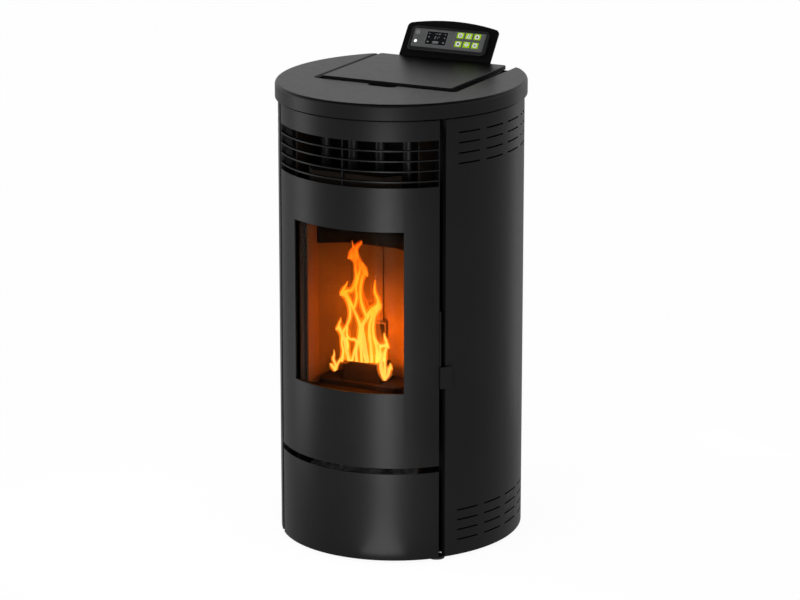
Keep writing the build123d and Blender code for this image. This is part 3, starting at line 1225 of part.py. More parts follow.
# --- Exhaust fan ------------------------------------------------------------------------
SPIGOT_Y = REAR_INNER - FAN_SPIGOT_BACK
with BuildPart() as exhaust_fan_housing:
    with BuildSketch(facing(REAR_REACH)):
        with Locations((FLUE_X, FLUE_Z)):
            Circle(FLUE_R)
    extrude(amount=REAR_REACH - REAR_INNER + FIT)
    with BuildSketch(facing(REAR_REACH)):
        with Locations((FLUE_X, FLUE_Z)):
            Circle(FLUE_R - FLUE_WALL + NECK_WALL)
    extrude(amount=REAR_REACH - SPIGOT_Y)
    with BuildSketch(facing(REAR_REACH)):
        with Locations((FLUE_X, FLUE_Z)):
            Circle(FLUE_R - FLUE_WALL)
    extrude(amount=REAR_REACH - SPIGOT_Y - FAN_WALL, mode=Mode.SUBTRACT)
    for shrink, mode in ((0, Mode.ADD), (FAN_WALL, Mode.SUBTRACT)):
        with BuildSketch(across(FAN_X0 + shrink)):
            with Locations((FAN_Y, FAN_Z)):
                Circle(FAN_R - shrink)
            outlet_top = FAN_Z + FAN_R - shrink
            outlet_z0 = outlet_top - FAN_OUTLET_H + 2 * shrink
            add(rect(FAN_Y, SPIGOT_Y + FAN_WALL / 2 + shrink, outlet_z0, outlet_top))
        extrude(amount=FAN_X1 - FAN_X0 - 2 * shrink, mode=mode)
    with BuildSketch(across(FAN_X0)):
        with Locations((FAN_Y, FAN_Z)):
            Circle(2 * SHAFT_R)
    extrude(amount=FAN_WALL, mode=Mode.SUBTRACT)
    with BuildSketch(across(FAN_X1 - FAN_WALL)):
        with Locations((FAN_Y, FAN_Z)):
            Circle(FAN_EYE_R)
    extrude(amount=FAN_WALL, mode=Mode.SUBTRACT)
finish(exhaust_fan_housing.part, "exhaust_fan_housing")

with BuildPart() as exhaust_fan_motor:
    with BuildSketch(across(FAN_X0)):
        with Locations((FAN_Y, FAN_Z)):
            Circle(FAN_MOTOR_R)
    extrude(amount=-FAN_MOTOR_L)
    fillet(exhaust_fan_motor.edges().group_by(Axis.X)[0], radius=FAN_MOTOR_ROUND)
    with BuildSketch(across(FAN_X0)):
        with Locations((FAN_Y, FAN_Z)):
            Circle(SHAFT_R + PIN_PLAY)
    extrude(amount=-FAN_MOTOR_L / 2 - SHAFT_END_GAP, mode=Mode.SUBTRACT)
    foot_half = FAN_MOTOR_R / 2
    with BuildSketch(level(BASE_Z + BASE_T)):
        foot_x = FAN_X0 - FAN_MOTOR_L / 2
        add(rect(foot_x - foot_half, foot_x + foot_half, FAN_Y - foot_half, FAN_Y + foot_half))
    extrude(amount=FAN_Z - FAN_MOTOR_R - BASE_Z)
finish(exhaust_fan_motor.part, "exhaust_fan_motor")

with BuildPart() as exhaust_impeller:
    disc_x = FAN_X0 + FAN_WALL + IMPELLER_GAP
    with BuildSketch(across(disc_x)):
        with Locations((FAN_Y, FAN_Z)):
            Circle(IMPELLER_R)
    extrude(amount=FAN_WALL)
    with BuildSketch(across(FAN_X0 - FAN_MOTOR_L / 2)):
        with Locations((FAN_Y, FAN_Z)):
            Circle(SHAFT_R)
    extrude(amount=disc_x - FAN_X0 + FAN_MOTOR_L / 2 + FAN_WALL)
    with BuildSketch(across(disc_x + FAN_WALL)):
        with Locations((FAN_Y, FAN_Z)):
            with PolarLocations((IMPELLER_R + FAN_EYE_R) / 2, IMPELLER_BLADES):
                Rectangle(IMPELLER_R - FAN_EYE_R, FAN_WALL)
    extrude(amount=FAN_X1 - 3 * FAN_WALL - disc_x - FAN_WALL)
finish(exhaust_impeller.part, "exhaust_impeller")

# --- Room fan ---------------------------------------------------------------------------
with BuildPart() as room_fan_housing:
    wall = BLOWER_WALL
    case_r = BLOWER_R + 3 * wall
    case_z0 = BASE_Z + BASE_T
    with BuildSketch(across(BLOWER_X0)):
        add(rect(BLOWER_Y - case_r, BLOWER_Y + case_r, case_z0, BLOWER_Z + case_r))
    extrude(amount=BLOWER_X1 - BLOWER_X0)
    with BuildSketch(across(BLOWER_X0 + wall)):
        add(rect(BLOWER_Y - case_r + wall, BLOWER_Y + case_r, case_z0 + wall, BLOWER_Z + case_r - wall))
    extrude(amount=BLOWER_X1 - BLOWER_X0 - 2 * wall, mode=Mode.SUBTRACT)
    with BuildSketch(level(BLOWER_Z + case_r - wall)):
        add(
            rect(
                BLOWER_X0 + 2 * wall,
                BLOWER_X1 - 2 * wall,
                BLOWER_Y - case_r + 2 * wall,
                BLOWER_Y,
            )
        )
    extrude(amount=wall, mode=Mode.SUBTRACT)
    with BuildSketch(facing(BLOWER_Y + case_r)):
        add(rect(BLOWER_X0 + 2 * wall, BLOWER_X1 - 2 * wall, BLOWER_Z, BLOWER_Z + BLOWER_R))
    extrude(amount=wall, mode=Mode.SUBTRACT)
    with BuildSketch(across(BLOWER_X0)):
        with Locations((BLOWER_Y, BLOWER_Z)):
            Circle(SHAFT_R + PIN_PLAY)
    extrude(amount=BLOWER_X1 - BLOWER_X0, mode=Mode.SUBTRACT)
finish(room_fan_housing.part, "room_fan_housing")

with BuildPart() as room_fan_rotor:
    end_gap = 2 * BLOWER_WALL
    rotor_x0 = BLOWER_X0 + end_gap
    rotor_x1 = BLOWER_X1 - end_gap
    for disc_x in (rotor_x0, rotor_x1 - BLOWER_WALL):
        with BuildSketch(across(disc_x)):
            with Locations((BLOWER_Y, BLOWER_Z)):
                Circle(BLOWER_R)
        extrude(amount=BLOWER_WALL)
    with BuildSketch(across(rotor_x0)):
        with Locations((BLOWER_Y, BLOWER_Z)):
            with PolarLocations(BLOWER_R - 2 * BLOWER_WALL, BLOWER_BLADES):
                Rectangle(BLADE_W, BLADE_T, rotation=BLADE_TILT)
    extrude(amount=rotor_x1 - rotor_x0)
    with BuildSketch(across(BLOWER_X0)):
        with Locations((BLOWER_Y, BLOWER_Z)):
            Circle(SHAFT_R)
    extrude(amount=BLOWER_X1 - BLOWER_X0 + BLOWER_MOTOR_L / 2)
finish(room_fan_rotor.part, "room_fan_rotor")

with BuildPart() as room_fan_motor:
    with BuildSketch(across(BLOWER_X1)):
        with Locations((BLOWER_Y, BLOWER_Z)):
            Circle(BLOWER_MOTOR_R)
    extrude(amount=BLOWER_MOTOR_L)
    fillet(room_fan_motor.edges().group_by(Axis.X)[-1], radius=BLOWER_MOTOR_ROUND)
    with BuildSketch(across(BLOWER_X1)):
        with Locations((BLOWER_Y, BLOWER_Z)):
            Circle(SHAFT_R + PIN_PLAY)
    extrude(amount=BLOWER_MOTOR_L / 2 + SHAFT_END_GAP, mode=Mode.SUBTRACT)
finish(room_fan_motor.part, "room_fan_motor")

# --- Air inlet, mains inlet, switch and control board -----------------------------------
with BuildPart() as air_inlet_pipe:
    pipe_end = BACK_Y + AIR_PIPE_OUT
    with BuildSketch(facing(pipe_end)):
        with Locations((AIR_PIPE_X, AIR_PIPE_Z)):
            Circle(AIR_PIPE_R)
    extrude(amount=pipe_end - REAR_INNER + FIT)
    with BuildSketch(facing(pipe_end)):
        with Locations((AIR_PIPE_X, AIR_PIPE_Z)):
            Circle(AIR_PIPE_R - AIR_PIPE_WALL + NECK_WALL)
    extrude(amount=pipe_end - SHELL_BACK - FIREBOX_STEEL)
    with BuildSketch(facing(pipe_end)):
        with Locations((AIR_PIPE_X, AIR_PIPE_Z)):
            Circle(AIR_PIPE_R - AIR_PIPE_WALL)
    extrude(amount=pipe_end - SHELL_BACK - FIREBOX_STEEL, mode=Mode.SUBTRACT)
finish(air_inlet_pipe.part, "air_inlet_pipe")

ROCKER_AXIS_Y = BACK_Y + INLET_PLATE - ROCKER_DEEP / 2
with BuildPart() as mains_inlet:
    half_w = INLET_W / 2
    half_h = INLET_H / 2
    body_w = half_w - INLET_PLATE - FIT
    body_h = half_h - INLET_PLATE - FIT
    with BuildSketch(facing(BACK_Y)):
        with Locations((INLET_X, INLET_Z)):
            RectangleRounded(INLET_W, INLET_H, INLET_PLATE)
    extrude(amount=-INLET_PLATE)
    with BuildSketch(facing(BACK_Y)):
        add(rect(INLET_X - body_w, INLET_X + body_w, INLET_Z - body_h, INLET_Z + body_h))
    extrude(amount=INLET_DEPTH)
    with BuildSketch(facing(BACK_Y + INLET_PLATE)):
        with Locations((INLET_X - SOCKET_X, INLET_Z)):
            RectangleRounded(SOCKET_W, SOCKET_H, INLET_PLATE)
    extrude(amount=SOCKET_DEPTH, mode=Mode.SUBTRACT)
    with BuildSketch(facing(BACK_Y + INLET_PLATE - SOCKET_DEPTH)):
        for column in (-1, 0, 1):
            pin_x = column * SOCKET_PIN_PITCH
            pin_z = -SOCKET_PIN_RISE if column else SOCKET_PIN_RISE
            with Locations((INLET_X - SOCKET_X + pin_x, INLET_Z + pin_z)):
                Rectangle(SOCKET_PIN, SOCKET_PIN_H)
    extrude(amount=-SOCKET_PIN_L)
    with BuildSketch(facing(BACK_Y + INLET_PLATE)):
        with Locations((INLET_X - ROCKER_X, INLET_Z)):
            Rectangle(ROCKER_W + 2 * FIT, ROCKER_H + 2 * ROCKER_CLEAR)
    extrude(amount=ROCKER_DEEP + 2 * INLET_PLATE, mode=Mode.SUBTRACT)
    with BuildSketch(across(INLET_X - ROCKER_X - ROCKER_W / 2 - FIT)):
        with Locations((ROCKER_AXIS_Y, INLET_Z)):
            Circle(ROCKER_PIN_R)
    extrude(amount=ROCKER_W + 2 * FIT)
finish(mains_inlet.part, "mains_inlet")

with BuildPart() as power_switch_rocker:
    with BuildSketch(across(INLET_X - ROCKER_X - ROCKER_W / 2)):
        with Locations((ROCKER_AXIS_Y, INLET_Z)):
            half = ROCKER_H / 2
            Polygon(
                (-ROCKER_BACK, -ROCKER_BACK_HALF),
                (-ROCKER_BACK, ROCKER_BACK_HALF),
                (ROCKER_UP_EDGE, half),
                (ROCKER_UP_OUT, half),
                (ROCKER_WAIST, 0),
                (ROCKER_DOWN_OUT, -half),
                (ROCKER_DOWN_EDGE, -half),
                align=None,
            )
            Circle(ROCKER_PIN_R + PIN_PLAY, mode=Mode.SUBTRACT)
    extrude(amount=ROCKER_W)
finish(power_switch_rocker.part, "power_switch_rocker")

with BuildPart() as control_board:
    with BuildSketch(facing(REAR_INNER)):
        add(rect(BOARD_X0, BOARD_X1, BOARD_Z0, BOARD_Z1))
    extrude(amount=BOARD_DEPTH)
    fillet(control_board.edges().filter_by(Axis.Y), radius=BOARD_CORNER_R)
    with BuildSketch(facing(REAR_INNER - BOARD_DEPTH)):
        middle = ((BOARD_X0 + BOARD_X1) / 2, (BOARD_Z0 + BOARD_Z1) / 2)
        with Locations(middle):
            with GridLocations(0, BOARD_SLOT_PITCH, 1, BOARD_SLOTS):
                SlotOverall(BOARD_SLOT_W, BOARD_SLOT_H)
    extrude(amount=-HOUSING_WALL, mode=Mode.SUBTRACT)
finish(control_board.part, "control_board")

# --- Control panel ----------------------------------------------------------------------
POD_FOOT_Y = REAR_INNER - POD_T - FIT / 3
LEAN = radians(POD_LEAN)
POD_PLANE = Plane(
    origin=(0, AXIS_Y + POD_FOOT_Y, POD_Z),
    x_dir=(1, 0, 0),
    z_dir=(0, -cos(LEAN), sin(LEAN)),
)


def pod(height):
    """Plane above the control plate's face."""
    return POD_PLANE.offset(height)


def pocket_area(border):
    """Outline of the keypad's pocket, moved in by a border."""
    with BuildSketch() as area:
        with Locations((0, (POCKET_V0 + POCKET_V1) / 2)):
            height = POCKET_V1 - POCKET_V0 - 2 * border
            RectangleRounded(2 * (POCKET_HALF - border), height, POCKET_R - border)
    return area.sketch


def pod_outline():
    """Control plate's leaning part: straight sides, rounded shoulders, arched top."""
    shoulder_v = POD_CROWN_H - POD_ARCH_R + sqrt(POD_ARCH_R**2 - POD_HALF**2)
    with BuildSketch() as area:
        with BuildLine():
            Polyline(
                (-POD_HALF, shoulder_v),
                (-POD_HALF, 0),
                (POD_HALF, 0),
                (POD_HALF, shoulder_v),
            )
            ThreePointArc((-POD_HALF, shoulder_v), (0, POD_CROWN_H), (POD_HALF, shoulder_v))
        make_face()
        fillet(area.vertices().group_by(Axis.Y)[-1], radius=POD_SHOULDER_R)
    return area.sketch


with BuildPart() as control_plate:
    with BuildSketch(pod(0)):
        add(pod_outline())
    extrude(amount=-POD_T)
    with BuildSketch(facing(POD_FOOT_Y)):
        add(rect(-POD_HALF, POD_HALF, POD_Z - POD_TAIL, POD_Z))
    extrude(amount=-POD_T)
finish(control_plate.part, "control_plate")

with BuildPart() as control_housing:
    with BuildSketch(pod(-POD_T)):
        add(rect(-HOUSING_HALF, HOUSING_HALF, HOUSING_V0, HOUSING_V1))
    extrude(amount=-HOUSING_DEPTH)
    long_edges = control_housing.faces().sort_by(SortBy.AREA)[-2:].sort_by(Axis.Y)[-1].edges()
    fillet(long_edges, radius=HOUSING_ROUND)
    with BuildSketch(pod(-POD_T)):
        inner = HOUSING_HALF - HOUSING_WALL
        add(rect(-inner, inner, HOUSING_V0 + HOUSING_WALL, HOUSING_V1 - HOUSING_WALL))
    extrude(amount=HOUSING_WALL - HOUSING_DEPTH, mode=Mode.SUBTRACT)
finish(control_housing.part, "control_housing")

with BuildPart() as keypad_bezel:
    with BuildSketch(pod(0)):
        with Locations((0, (BEZEL_V0 + BEZEL_V1) / 2)):
            RectangleRounded(2 * BEZEL_HALF, BEZEL_V1 - BEZEL_V0, BEZEL_R)
    extrude(amount=BEZEL_H)
    rim_edges = keypad_bezel.faces().sort_by(SortBy.AREA)[-2:].sort_by(Axis.Y)[0].edges()
    fillet(rim_edges, radius=BEZEL_ROUND)
    with BuildSketch(pod(POCKET_Z)):
        add(pocket_area(STEP_W))
    extrude(amount=BEZEL_H, mode=Mode.SUBTRACT)
    with BuildSketch(pod(STEP_Z)):
        add(pocket_area(0))
    extrude(amount=BEZEL_H, mode=Mode.SUBTRACT)
finish(keypad_bezel.part, "keypad_bezel")

KEY_PLACES = [(u, v) for v in reversed(KEY_V) for u in KEY_U]
with BuildPart() as keypad_membrane:
    with BuildSketch(pod(STEP_Z)):
        add(pocket_area(FIT))
        with Locations(*KEY_PLACES):
            Rectangle(KEY_W + 2 * FIT, KEY_H + 2 * FIT, mode=Mode.SUBTRACT)
        with Locations((DISPLAY_U, DISPLAY_V)):
            Rectangle(DISPLAY_W + 2 * FIT, DISPLAY_H + 2 * FIT, mode=Mode.SUBTRACT)
        with Locations((EYE_U, EYE_V)):
            Circle(EYE_R + FIT, mode=Mode.SUBTRACT)
        with Locations((EYE_U, LED_V)):
            Circle(LED_R + FIT, mode=Mode.SUBTRACT)
    extrude(amount=MEMBRANE_T)
finish(keypad_membrane.part, "keypad_membrane")

KEY_BASE = POCKET_Z + KEY_REST
for number, place in enumerate(KEY_PLACES, start=1):
    with BuildPart() as key:
        with BuildSketch(pod(KEY_BASE)):
            with Locations(place):
                RectangleRounded(KEY_W, KEY_H, KEY_CORNER_R)
        extrude(amount=STEP_Z + MEMBRANE_T + KEY_PROUD - KEY_BASE)
        fillet(key.faces().sort_by(SortBy.AREA)[-2:].sort_by(Axis.Y)[0].edges(), radius=FIT)
        with BuildSketch(pod(KEY_BASE)):
            with Locations(place):
                Rectangle(KEY_W + 2 * KEY_LIP, KEY_H + 2 * KEY_LIP)
        extrude(amount=KEY_LIP_T)
    finish(key.part, f"key_{number}")

with BuildPart() as display_module:
    with BuildSketch(pod(POCKET_Z)):
        with Locations((DISPLAY_U, DISPLAY_V)):
            Rectangle(DISPLAY_W, DISPLAY_H)
    extrude(amount=STEP_Z + MEMBRANE_T - DISPLAY_SUNK - POCKET_Z)
finish(display_module.part, "display_module")

with BuildPart() as indicator_lenses:
    with BuildSketch(pod(POCKET_Z)):
        with Locations((EYE_U, EYE_V)):
            Circle(EYE_R)
        with Locations((EYE_U, LED_V)):
            Circle(LED_R)
    extrude(amount=STEP_Z + MEMBRANE_T + FIT - POCKET_Z)
finish(indicator_lenses.part, "indicator_lenses")

# --- Door panel and grille --------------------------------------------------------------
FLANGE_Z0 = DOOR_Z0 + DOOR_FLANGE_MARGIN
FLANGE_Z1 = PANEL_TOP - DOOR_FLANGE_MARGIN
HINGE_X, HINGE_Y = on_front(-HINGE_ANGLE, HINGE_R)
LUG_Z = (HINGE_BRACKET_Z[0] + HINGE_PLATE + FIT, HINGE_BRACKET_Z[1] - HINGE_PLATE - FIT)
with BuildPart() as door_panel:
    with BuildSketch(level(DOOR_Z0)):
        add(front_band(FRONT_R - SHEET, FRONT_R, DOOR_HALF_ANGLE))
    extrude(amount=PANEL_TOP - DOOR_Z0)
    with BuildSketch(level(FLANGE_Z0)):
        add(flanged_front(DOOR_FLANGE, DOOR_HALF_ANGLE))
    extrude(amount=FLANGE_Z1 - FLANGE_Z0)
    with BuildSketch(facing(-FRONT_R / 2)):
        with Locations((0, (WINDOW_Z0 + WINDOW_Z1) / 2)):
            RectangleRounded(2 * WINDOW_HALF, WINDOW_Z1 - WINDOW_Z0, WINDOW_R)
    extrude(amount=FRONT_R, mode=Mode.SUBTRACT)
    with BuildSketch(level(GRILLE_Z0)):
        add(front_band(FRONT_R - SHEET, FRONT_R + SHEET, DOOR_HALF_ANGLE - SHEET_ANGLE))
    extrude(amount=GRILLE_Z1 - GRILLE_Z0, mode=Mode.SUBTRACT)
    for lug_z in LUG_Z:
        with BuildSketch(level(lug_z)):
            with Locations((HINGE_X, HINGE_Y)):
                Circle(HINGE_EYE_R)
            with BuildLine():
                lug_angle = degrees(HINGE_LUG_HALF / HINGE_R)
                Polyline(
                    on_front(-HINGE_ANGLE + lug_angle, HINGE_R),
                    on_front(-HINGE_ANGLE - lug_angle, HINGE_R),
                    on_front(-DOOR_HALF_ANGLE + SHEET_ANGLE / 2, FRONT_R - SHEET / 2),
                    on_front(-HINGE_ANGLE + lug_angle, FRONT_R - SHEET / 2),
                    close=True,
                )
            make_face()
            with Locations((HINGE_X, HINGE_Y)):
                Circle(HINGE_PIN_R + PIN_PLAY, mode=Mode.SUBTRACT)
        extrude(amount=HINGE_PLATE)
    with BuildPart(mode=Mode.PRIVATE) as frame_studs:
        with BuildSketch(facing(FRAME_BACK_Y - FRAME_SHEET)):
            stud_z = (FRAME_Z0 + FRAME_STUD_INSET, FRAME_Z1 - FRAME_STUD_INSET)
            with Locations(*[(side * FRAME_STUD_X, z) for side in (-1, 1) for z in stud_z]):
                Circle(FRAME_STUD_R)
        extrude(amount=FRONT_R)
        with BuildSketch(level(0)):
            Circle(FRONT_R - SHEET / 2)
        extrude(amount=TOP_Z, mode=Mode.INTERSECT)
    add(frame_studs.part)
    with BuildSketch(KEEPER_PLANE.offset(-SHEET / 2)):
        with Locations((HANDLE_PIN_DEPTH, HANDLE_PIN_Z)):
            Circle(HANDLE_PIN_R)
    extrude(amount=SHEET / 2 + LEVER_GAP + LEVER_T + FIT + HANDLE_HEAD_T)
    with BuildSketch(KEEPER_PLANE.offset(LEVER_GAP + LEVER_T + FIT)):
        with Locations((HANDLE_PIN_DEPTH, HANDLE_PIN_Z)):
            Circle(HANDLE_HEAD_R)
    extrude(amount=HANDLE_HEAD_T)
finish(door_panel.part, "door_panel")

with BuildPart() as door_grille:
    bar_back = FRONT_R - BAR_DEPTH
    for bar in range(BAR_COUNT):
        bar_z = GRILLE_Z1 - BAR_FROM_TOP - bar * BAR_PITCH - BAR_T / 2
        with BuildSketch(level(bar_z)):
            add(front_band(bar_back, FRONT_R - FIT, DOOR_HALF_ANGLE - degrees(BAR_END_GAP / FRONT_R)))
        extrude(amount=BAR_T)
    with BuildSketch(level(GRILLE_Z0 - STIFFENER_OVERLAP)):
        stiffener_y = -bar_back - STIFFENER_BITE
        half = STIFFENER_W / 2
        add(rect(-half, half, stiffener_y, stiffener_y + STIFFENER_DEPTH))
    extrude(amount=GRILLE_Z1 - GRILLE_Z0 + 2 * STIFFENER_OVERLAP)
    for tab_z in (GRILLE_Z0 - STIFFENER_OVERLAP, GRILLE_Z1 + STIFFENER_OVERLAP / 4):
        with BuildSketch(level(tab_z)):
            tab_front = SHEET + FIT - FRONT_R
            tab_back = stiffener_y + STIFFENER_DEPTH / 2
            add(rect(-GRILLE_TAB_HALF, GRILLE_TAB_HALF, tab_front, tab_back))
        extrude(amount=GRILLE_TAB_H)
finish(door_grille.part, "door_grille")

# --- Glass, gasket and inner frame ------------------------------------------------------
with BuildPart() as door_glass:
    with BuildSketch(level(GLASS_Z0)):
        add(front_band(GLASS_BACK_R, GLASS_R, DOOR_HALF_ANGLE))
    extrude(amount=GLASS_Z1 - GLASS_Z0)
    with BuildSketch(facing(0)):
        add(rect(-GLASS_HALF, GLASS_HALF, GLASS_Z0, GLASS_Z1))
    extrude(amount=FRONT_R, mode=Mode.INTERSECT)
finish(door_glass.part, "door_glass")

with BuildPart() as glass_gasket:
    lip = GLASS_HALF + GASKET_LIP
    with BuildSketch(level(GLASS_Z0 - GASKET_LIP)):
        add(front_band(FRAME_R + FIT / 2, FRONT_R - SHEET - FIT / 2, DOOR_HALF_ANGLE))
    extrude(amount=GLASS_Z1 - GLASS_Z0 + 2 * GASKET_LIP)
    with BuildSketch(facing(0)):
        add(rect(-lip, lip, GLASS_Z0 - GASKET_LIP, GLASS_Z1 + GASKET_LIP))
    extrude(amount=FRONT_R, mode=Mode.INTERSECT)
    with BuildSketch(facing(0)):
        bite = GLASS_HALF - GASKET_BITE
        add(rect(-bite, bite, GLASS_Z0 + GASKET_BITE, GLASS_Z1 - GASKET_BITE))
    extrude(amount=FRONT_R, mode=Mode.SUBTRACT)
    with BuildSketch(facing(0), mode=Mode.PRIVATE) as glass_outline:
        glass_half = GLASS_HALF + FIT
        add(rect(-glass_half, glass_half, GLASS_Z0 - FIT, GLASS_Z1 + FIT))
    with BuildPart(mode=Mode.PRIVATE) as glass_space:
        with BuildSketch(level(GLASS_Z0 - FIT)):
            add(front_band(GLASS_BACK_R - FIT / 2, GLASS_R + FIT / 2, DOOR_HALF_ANGLE))
        extrude(amount=GLASS_Z1 - GLASS_Z0 + 2 * FIT)
        extrude(glass_outline.sketch, amount=FRONT_R, mode=Mode.INTERSECT)
    add(glass_space.part, mode=Mode.SUBTRACT)
finish(glass_gasket.part, "glass_gasket")


def bowed_area(radius):
    """Area between the inner frame's back plate and an arc in front of it."""
    with BuildSketch() as bow:
        add(rect(-FRONT_R, FRONT_R, -FRONT_R, FRAME_BACK_Y - FRAME_SHEET))
        Circle(radius, mode=Mode.INTERSECT)
    return bow.sketch


def air_box(shrink):
    """Plan of the inner frame's air boxes: flat face and flared sides."""
    foot = BOX_HALF + BOX_FLARE - shrink
    face = BOX_HALF - shrink
    with BuildSketch() as box:
        with BuildLine():
            Polyline(
                (-foot, FRAME_BACK_Y),
                (-face, BOX_FACE_Y + shrink),
                (face, BOX_FACE_Y + shrink),
                (foot, FRAME_BACK_Y),
                close=True,
            )
        make_face()
    return box.sketch


with BuildPart() as door_inner_frame:
    with BuildSketch(level(FRAME_Z0)):
        add(rect(-FRAME_HALF, FRAME_HALF, FRAME_BACK_Y - FRAME_SHEET, FRAME_BACK_Y))
        add(bowed_area(FRAME_R))
    extrude(amount=FRAME_Z1 - FRAME_Z0)
    with BuildPart(mode=Mode.PRIVATE) as channel:
        with BuildSketch(level(FRAME_Z0)):
            add(bowed_area(FRAME_R - FRAME_SHEET))
        extrude(amount=FRAME_Z1 - FRAME_Z0)
        with BuildSketch(facing(FRAME_BACK_Y)):
            sleeve = FRAME_OPEN_HALF + FRAME_SHEET
            add(rect(-sleeve, sleeve, OPEN_Z0 - FRAME_SHEET, OPEN_Z1 + FRAME_SHEET))
        extrude(amount=FRONT_R, mode=Mode.SUBTRACT)
    add(channel.part, mode=Mode.SUBTRACT)
    with BuildSketch(facing(FRAME_BACK_Y)):
        add(rect(-FRAME_OPEN_HALF, FRAME_OPEN_HALF, OPEN_Z0, OPEN_Z1))
    extrude(amount=FRONT_R, mode=Mode.SUBTRACT)
    with BuildSketch(level(FRAME_Z1 - FRAME_SHEET)):
        add(air_box(0))
    extrude(amount=BOX_TOP_Z - FRAME_Z1 + FRAME_SHEET)
    with BuildSketch(level(FRAME_Z1)):
        add(air_box(BOX_SHEET))
    extrude(amount=BOX_TOP_Z - FRAME_Z1 - BOX_SHEET, mode=Mode.SUBTRACT)
    with BuildSketch(level(BOX_BOTTOM_Z)):
        add(air_box(0))
    extrude(amount=FRAME_Z0 + FRAME_SHEET - BOX_BOTTOM_Z)
    with BuildSketch(level(BOX_BOTTOM_Z + BOX_SHEET)):
        add(air_box(BOX_SHEET))
    extrude(amount=FRAME_Z0 - BOX_BOTTOM_Z - BOX_SHEET, mode=Mode.SUBTRACT)
finish(door_inner_frame.part, "door_inner_frame")

with BuildPart() as door_rope_seal:
    rope_depth = FRAME_BACK_Y - FIREBOX_FRONT
    with BuildSketch(facing(FRAME_BACK_Y)):
        half = FRAME_HALF - ROPE_INSET
        add(rect(-half, half, FRAME_Z0 + ROPE_INSET, FRAME_Z1 - ROPE_INSET))
        half = half - ROPE_W
        z0 = FRAME_Z0 + ROPE_INSET + ROPE_W
        z1 = FRAME_Z1 - ROPE_INSET - ROPE_W
        add(rect(-half, half, z0, z1), mode=Mode.SUBTRACT)
    extrude(amount=rope_depth + FIT)
    fillet(door_rope_seal.faces().sort_by(Axis.Y)[-1].edges(), radius=ROPE_W / 4)
finish(door_rope_seal.part, "door_rope_seal")

# --- Door hinge brackets and handle -----------------------------------------------------
ARM = radians(HINGE_ARM_ANGLE)
arm_y = HINGE_Y - (SHELL_OUT + HINGE_X) * sin(ARM) / cos(ARM)
arm_dx = HINGE_ARM_HALF * sin(ARM)
arm_dy = HINGE_ARM_HALF * cos(ARM)
with BuildPart() as door_hinge_brackets:
    for plate_z, pin_up in zip(HINGE_BRACKET_Z, (True, False)):
        with BuildSketch(level(plate_z)):
            with Locations((HINGE_X, HINGE_Y)):
                Circle(HINGE_EYE_R)
            with BuildLine():
                Polyline(
                    (HINGE_X - arm_dx, HINGE_Y + arm_dy),
                    (HINGE_X + arm_dx, HINGE_Y - arm_dy),
                    (-SHELL_OUT, arm_y - arm_dy - arm_dx),
                    (-SHELL_OUT, arm_y + arm_dy + arm_dx),
                    close=True,
                )
            make_face()
        extrude(amount=HINGE_PLATE)
        with BuildSketch(level(plate_z + (HINGE_PLATE if pin_up else 0))):
            with Locations((HINGE_X, HINGE_Y)):
                Circle(HINGE_PIN_R)
        extrude(amount=(1 if pin_up else -1) * 2 * HINGE_PLATE)
finish(door_hinge_brackets.part, "door_hinge_brackets")

with BuildPart() as door_handle:
    with BuildSketch(KEEPER_PLANE.offset(LEVER_GAP)):
        add(rect(-TAB_CLEAR - TAB_T, LEVER_DEPTH, LEVER_Z0, TAB_TOP_Z))
        add(rect(0, LEVER_DEPTH, LEVER_Z0, LEVER_Z1))
        add(rect(0, HOOK_REACH, HOOK_Z0, HOOK_Z0 + HOOK_H))
        hook_top = HOOK_Z0 + HOOK_H + HOOK_LIP_RISE
        add(rect(HOOK_REACH - HOOK_LIP, HOOK_REACH, HOOK_Z0, hook_top))
        with Locations((HANDLE_PIN_DEPTH, HANDLE_PIN_Z)):
            Circle(HANDLE_PIN_R + PIN_PLAY, mode=Mode.SUBTRACT)
    extrude(amount=LEVER_T)
    with BuildSketch(KEEPER_PLANE.offset(LEVER_GAP)):
        add(rect(-TAB_CLEAR - TAB_T, -TAB_CLEAR, LEVER_Z0, TAB_TOP_Z))
    extrude(amount=TAB_LENGTH - LEVER_GAP)
finish(door_handle.part, "door_handle")

# --- Ash drawer and its runners ---------------------------------------------------------
with BuildPart() as ash_drawer_front:
    with BuildSketch(level(DRAWER_FRONT_Z0)):
        add(flanged_front(DRAWER_FLANGE, DOOR_HALF_ANGLE))
    extrude(amount=DRAWER_FRONT_Z1 - DRAWER_FRONT_Z0)
    for rib_z in DRAWER_RIB_Z:
        with BuildSketch(level(rib_z)):
            add(rect(-DRAWER_HALF, DRAWER_HALF, -FRONT_R, DRAWER_Y0))
            Circle(FRONT_R - SHEET / 2, mode=Mode.INTERSECT)
        extrude(amount=DRAWER_RIB_T)
finish(ash_drawer_front.part, "ash_drawer_front")

with BuildPart() as ash_drawer_box:
    with BuildSketch(level(DRAWER_Z0)):
        add(rect(-DRAWER_HALF, DRAWER_HALF, DRAWER_Y0, DRAWER_Y1))
    extrude(amount=DRAWER_Z1 - DRAWER_Z0)
    fillet(ash_drawer_box.edges().filter_by(Axis.Z), radius=DRAWER_CORNER_R)
    inside = ash_drawer_box.faces().sort_by(Axis.Z)[-1]
    offset(amount=-SHEET, openings=inside)
finish(ash_drawer_box.part, "ash_drawer_box")

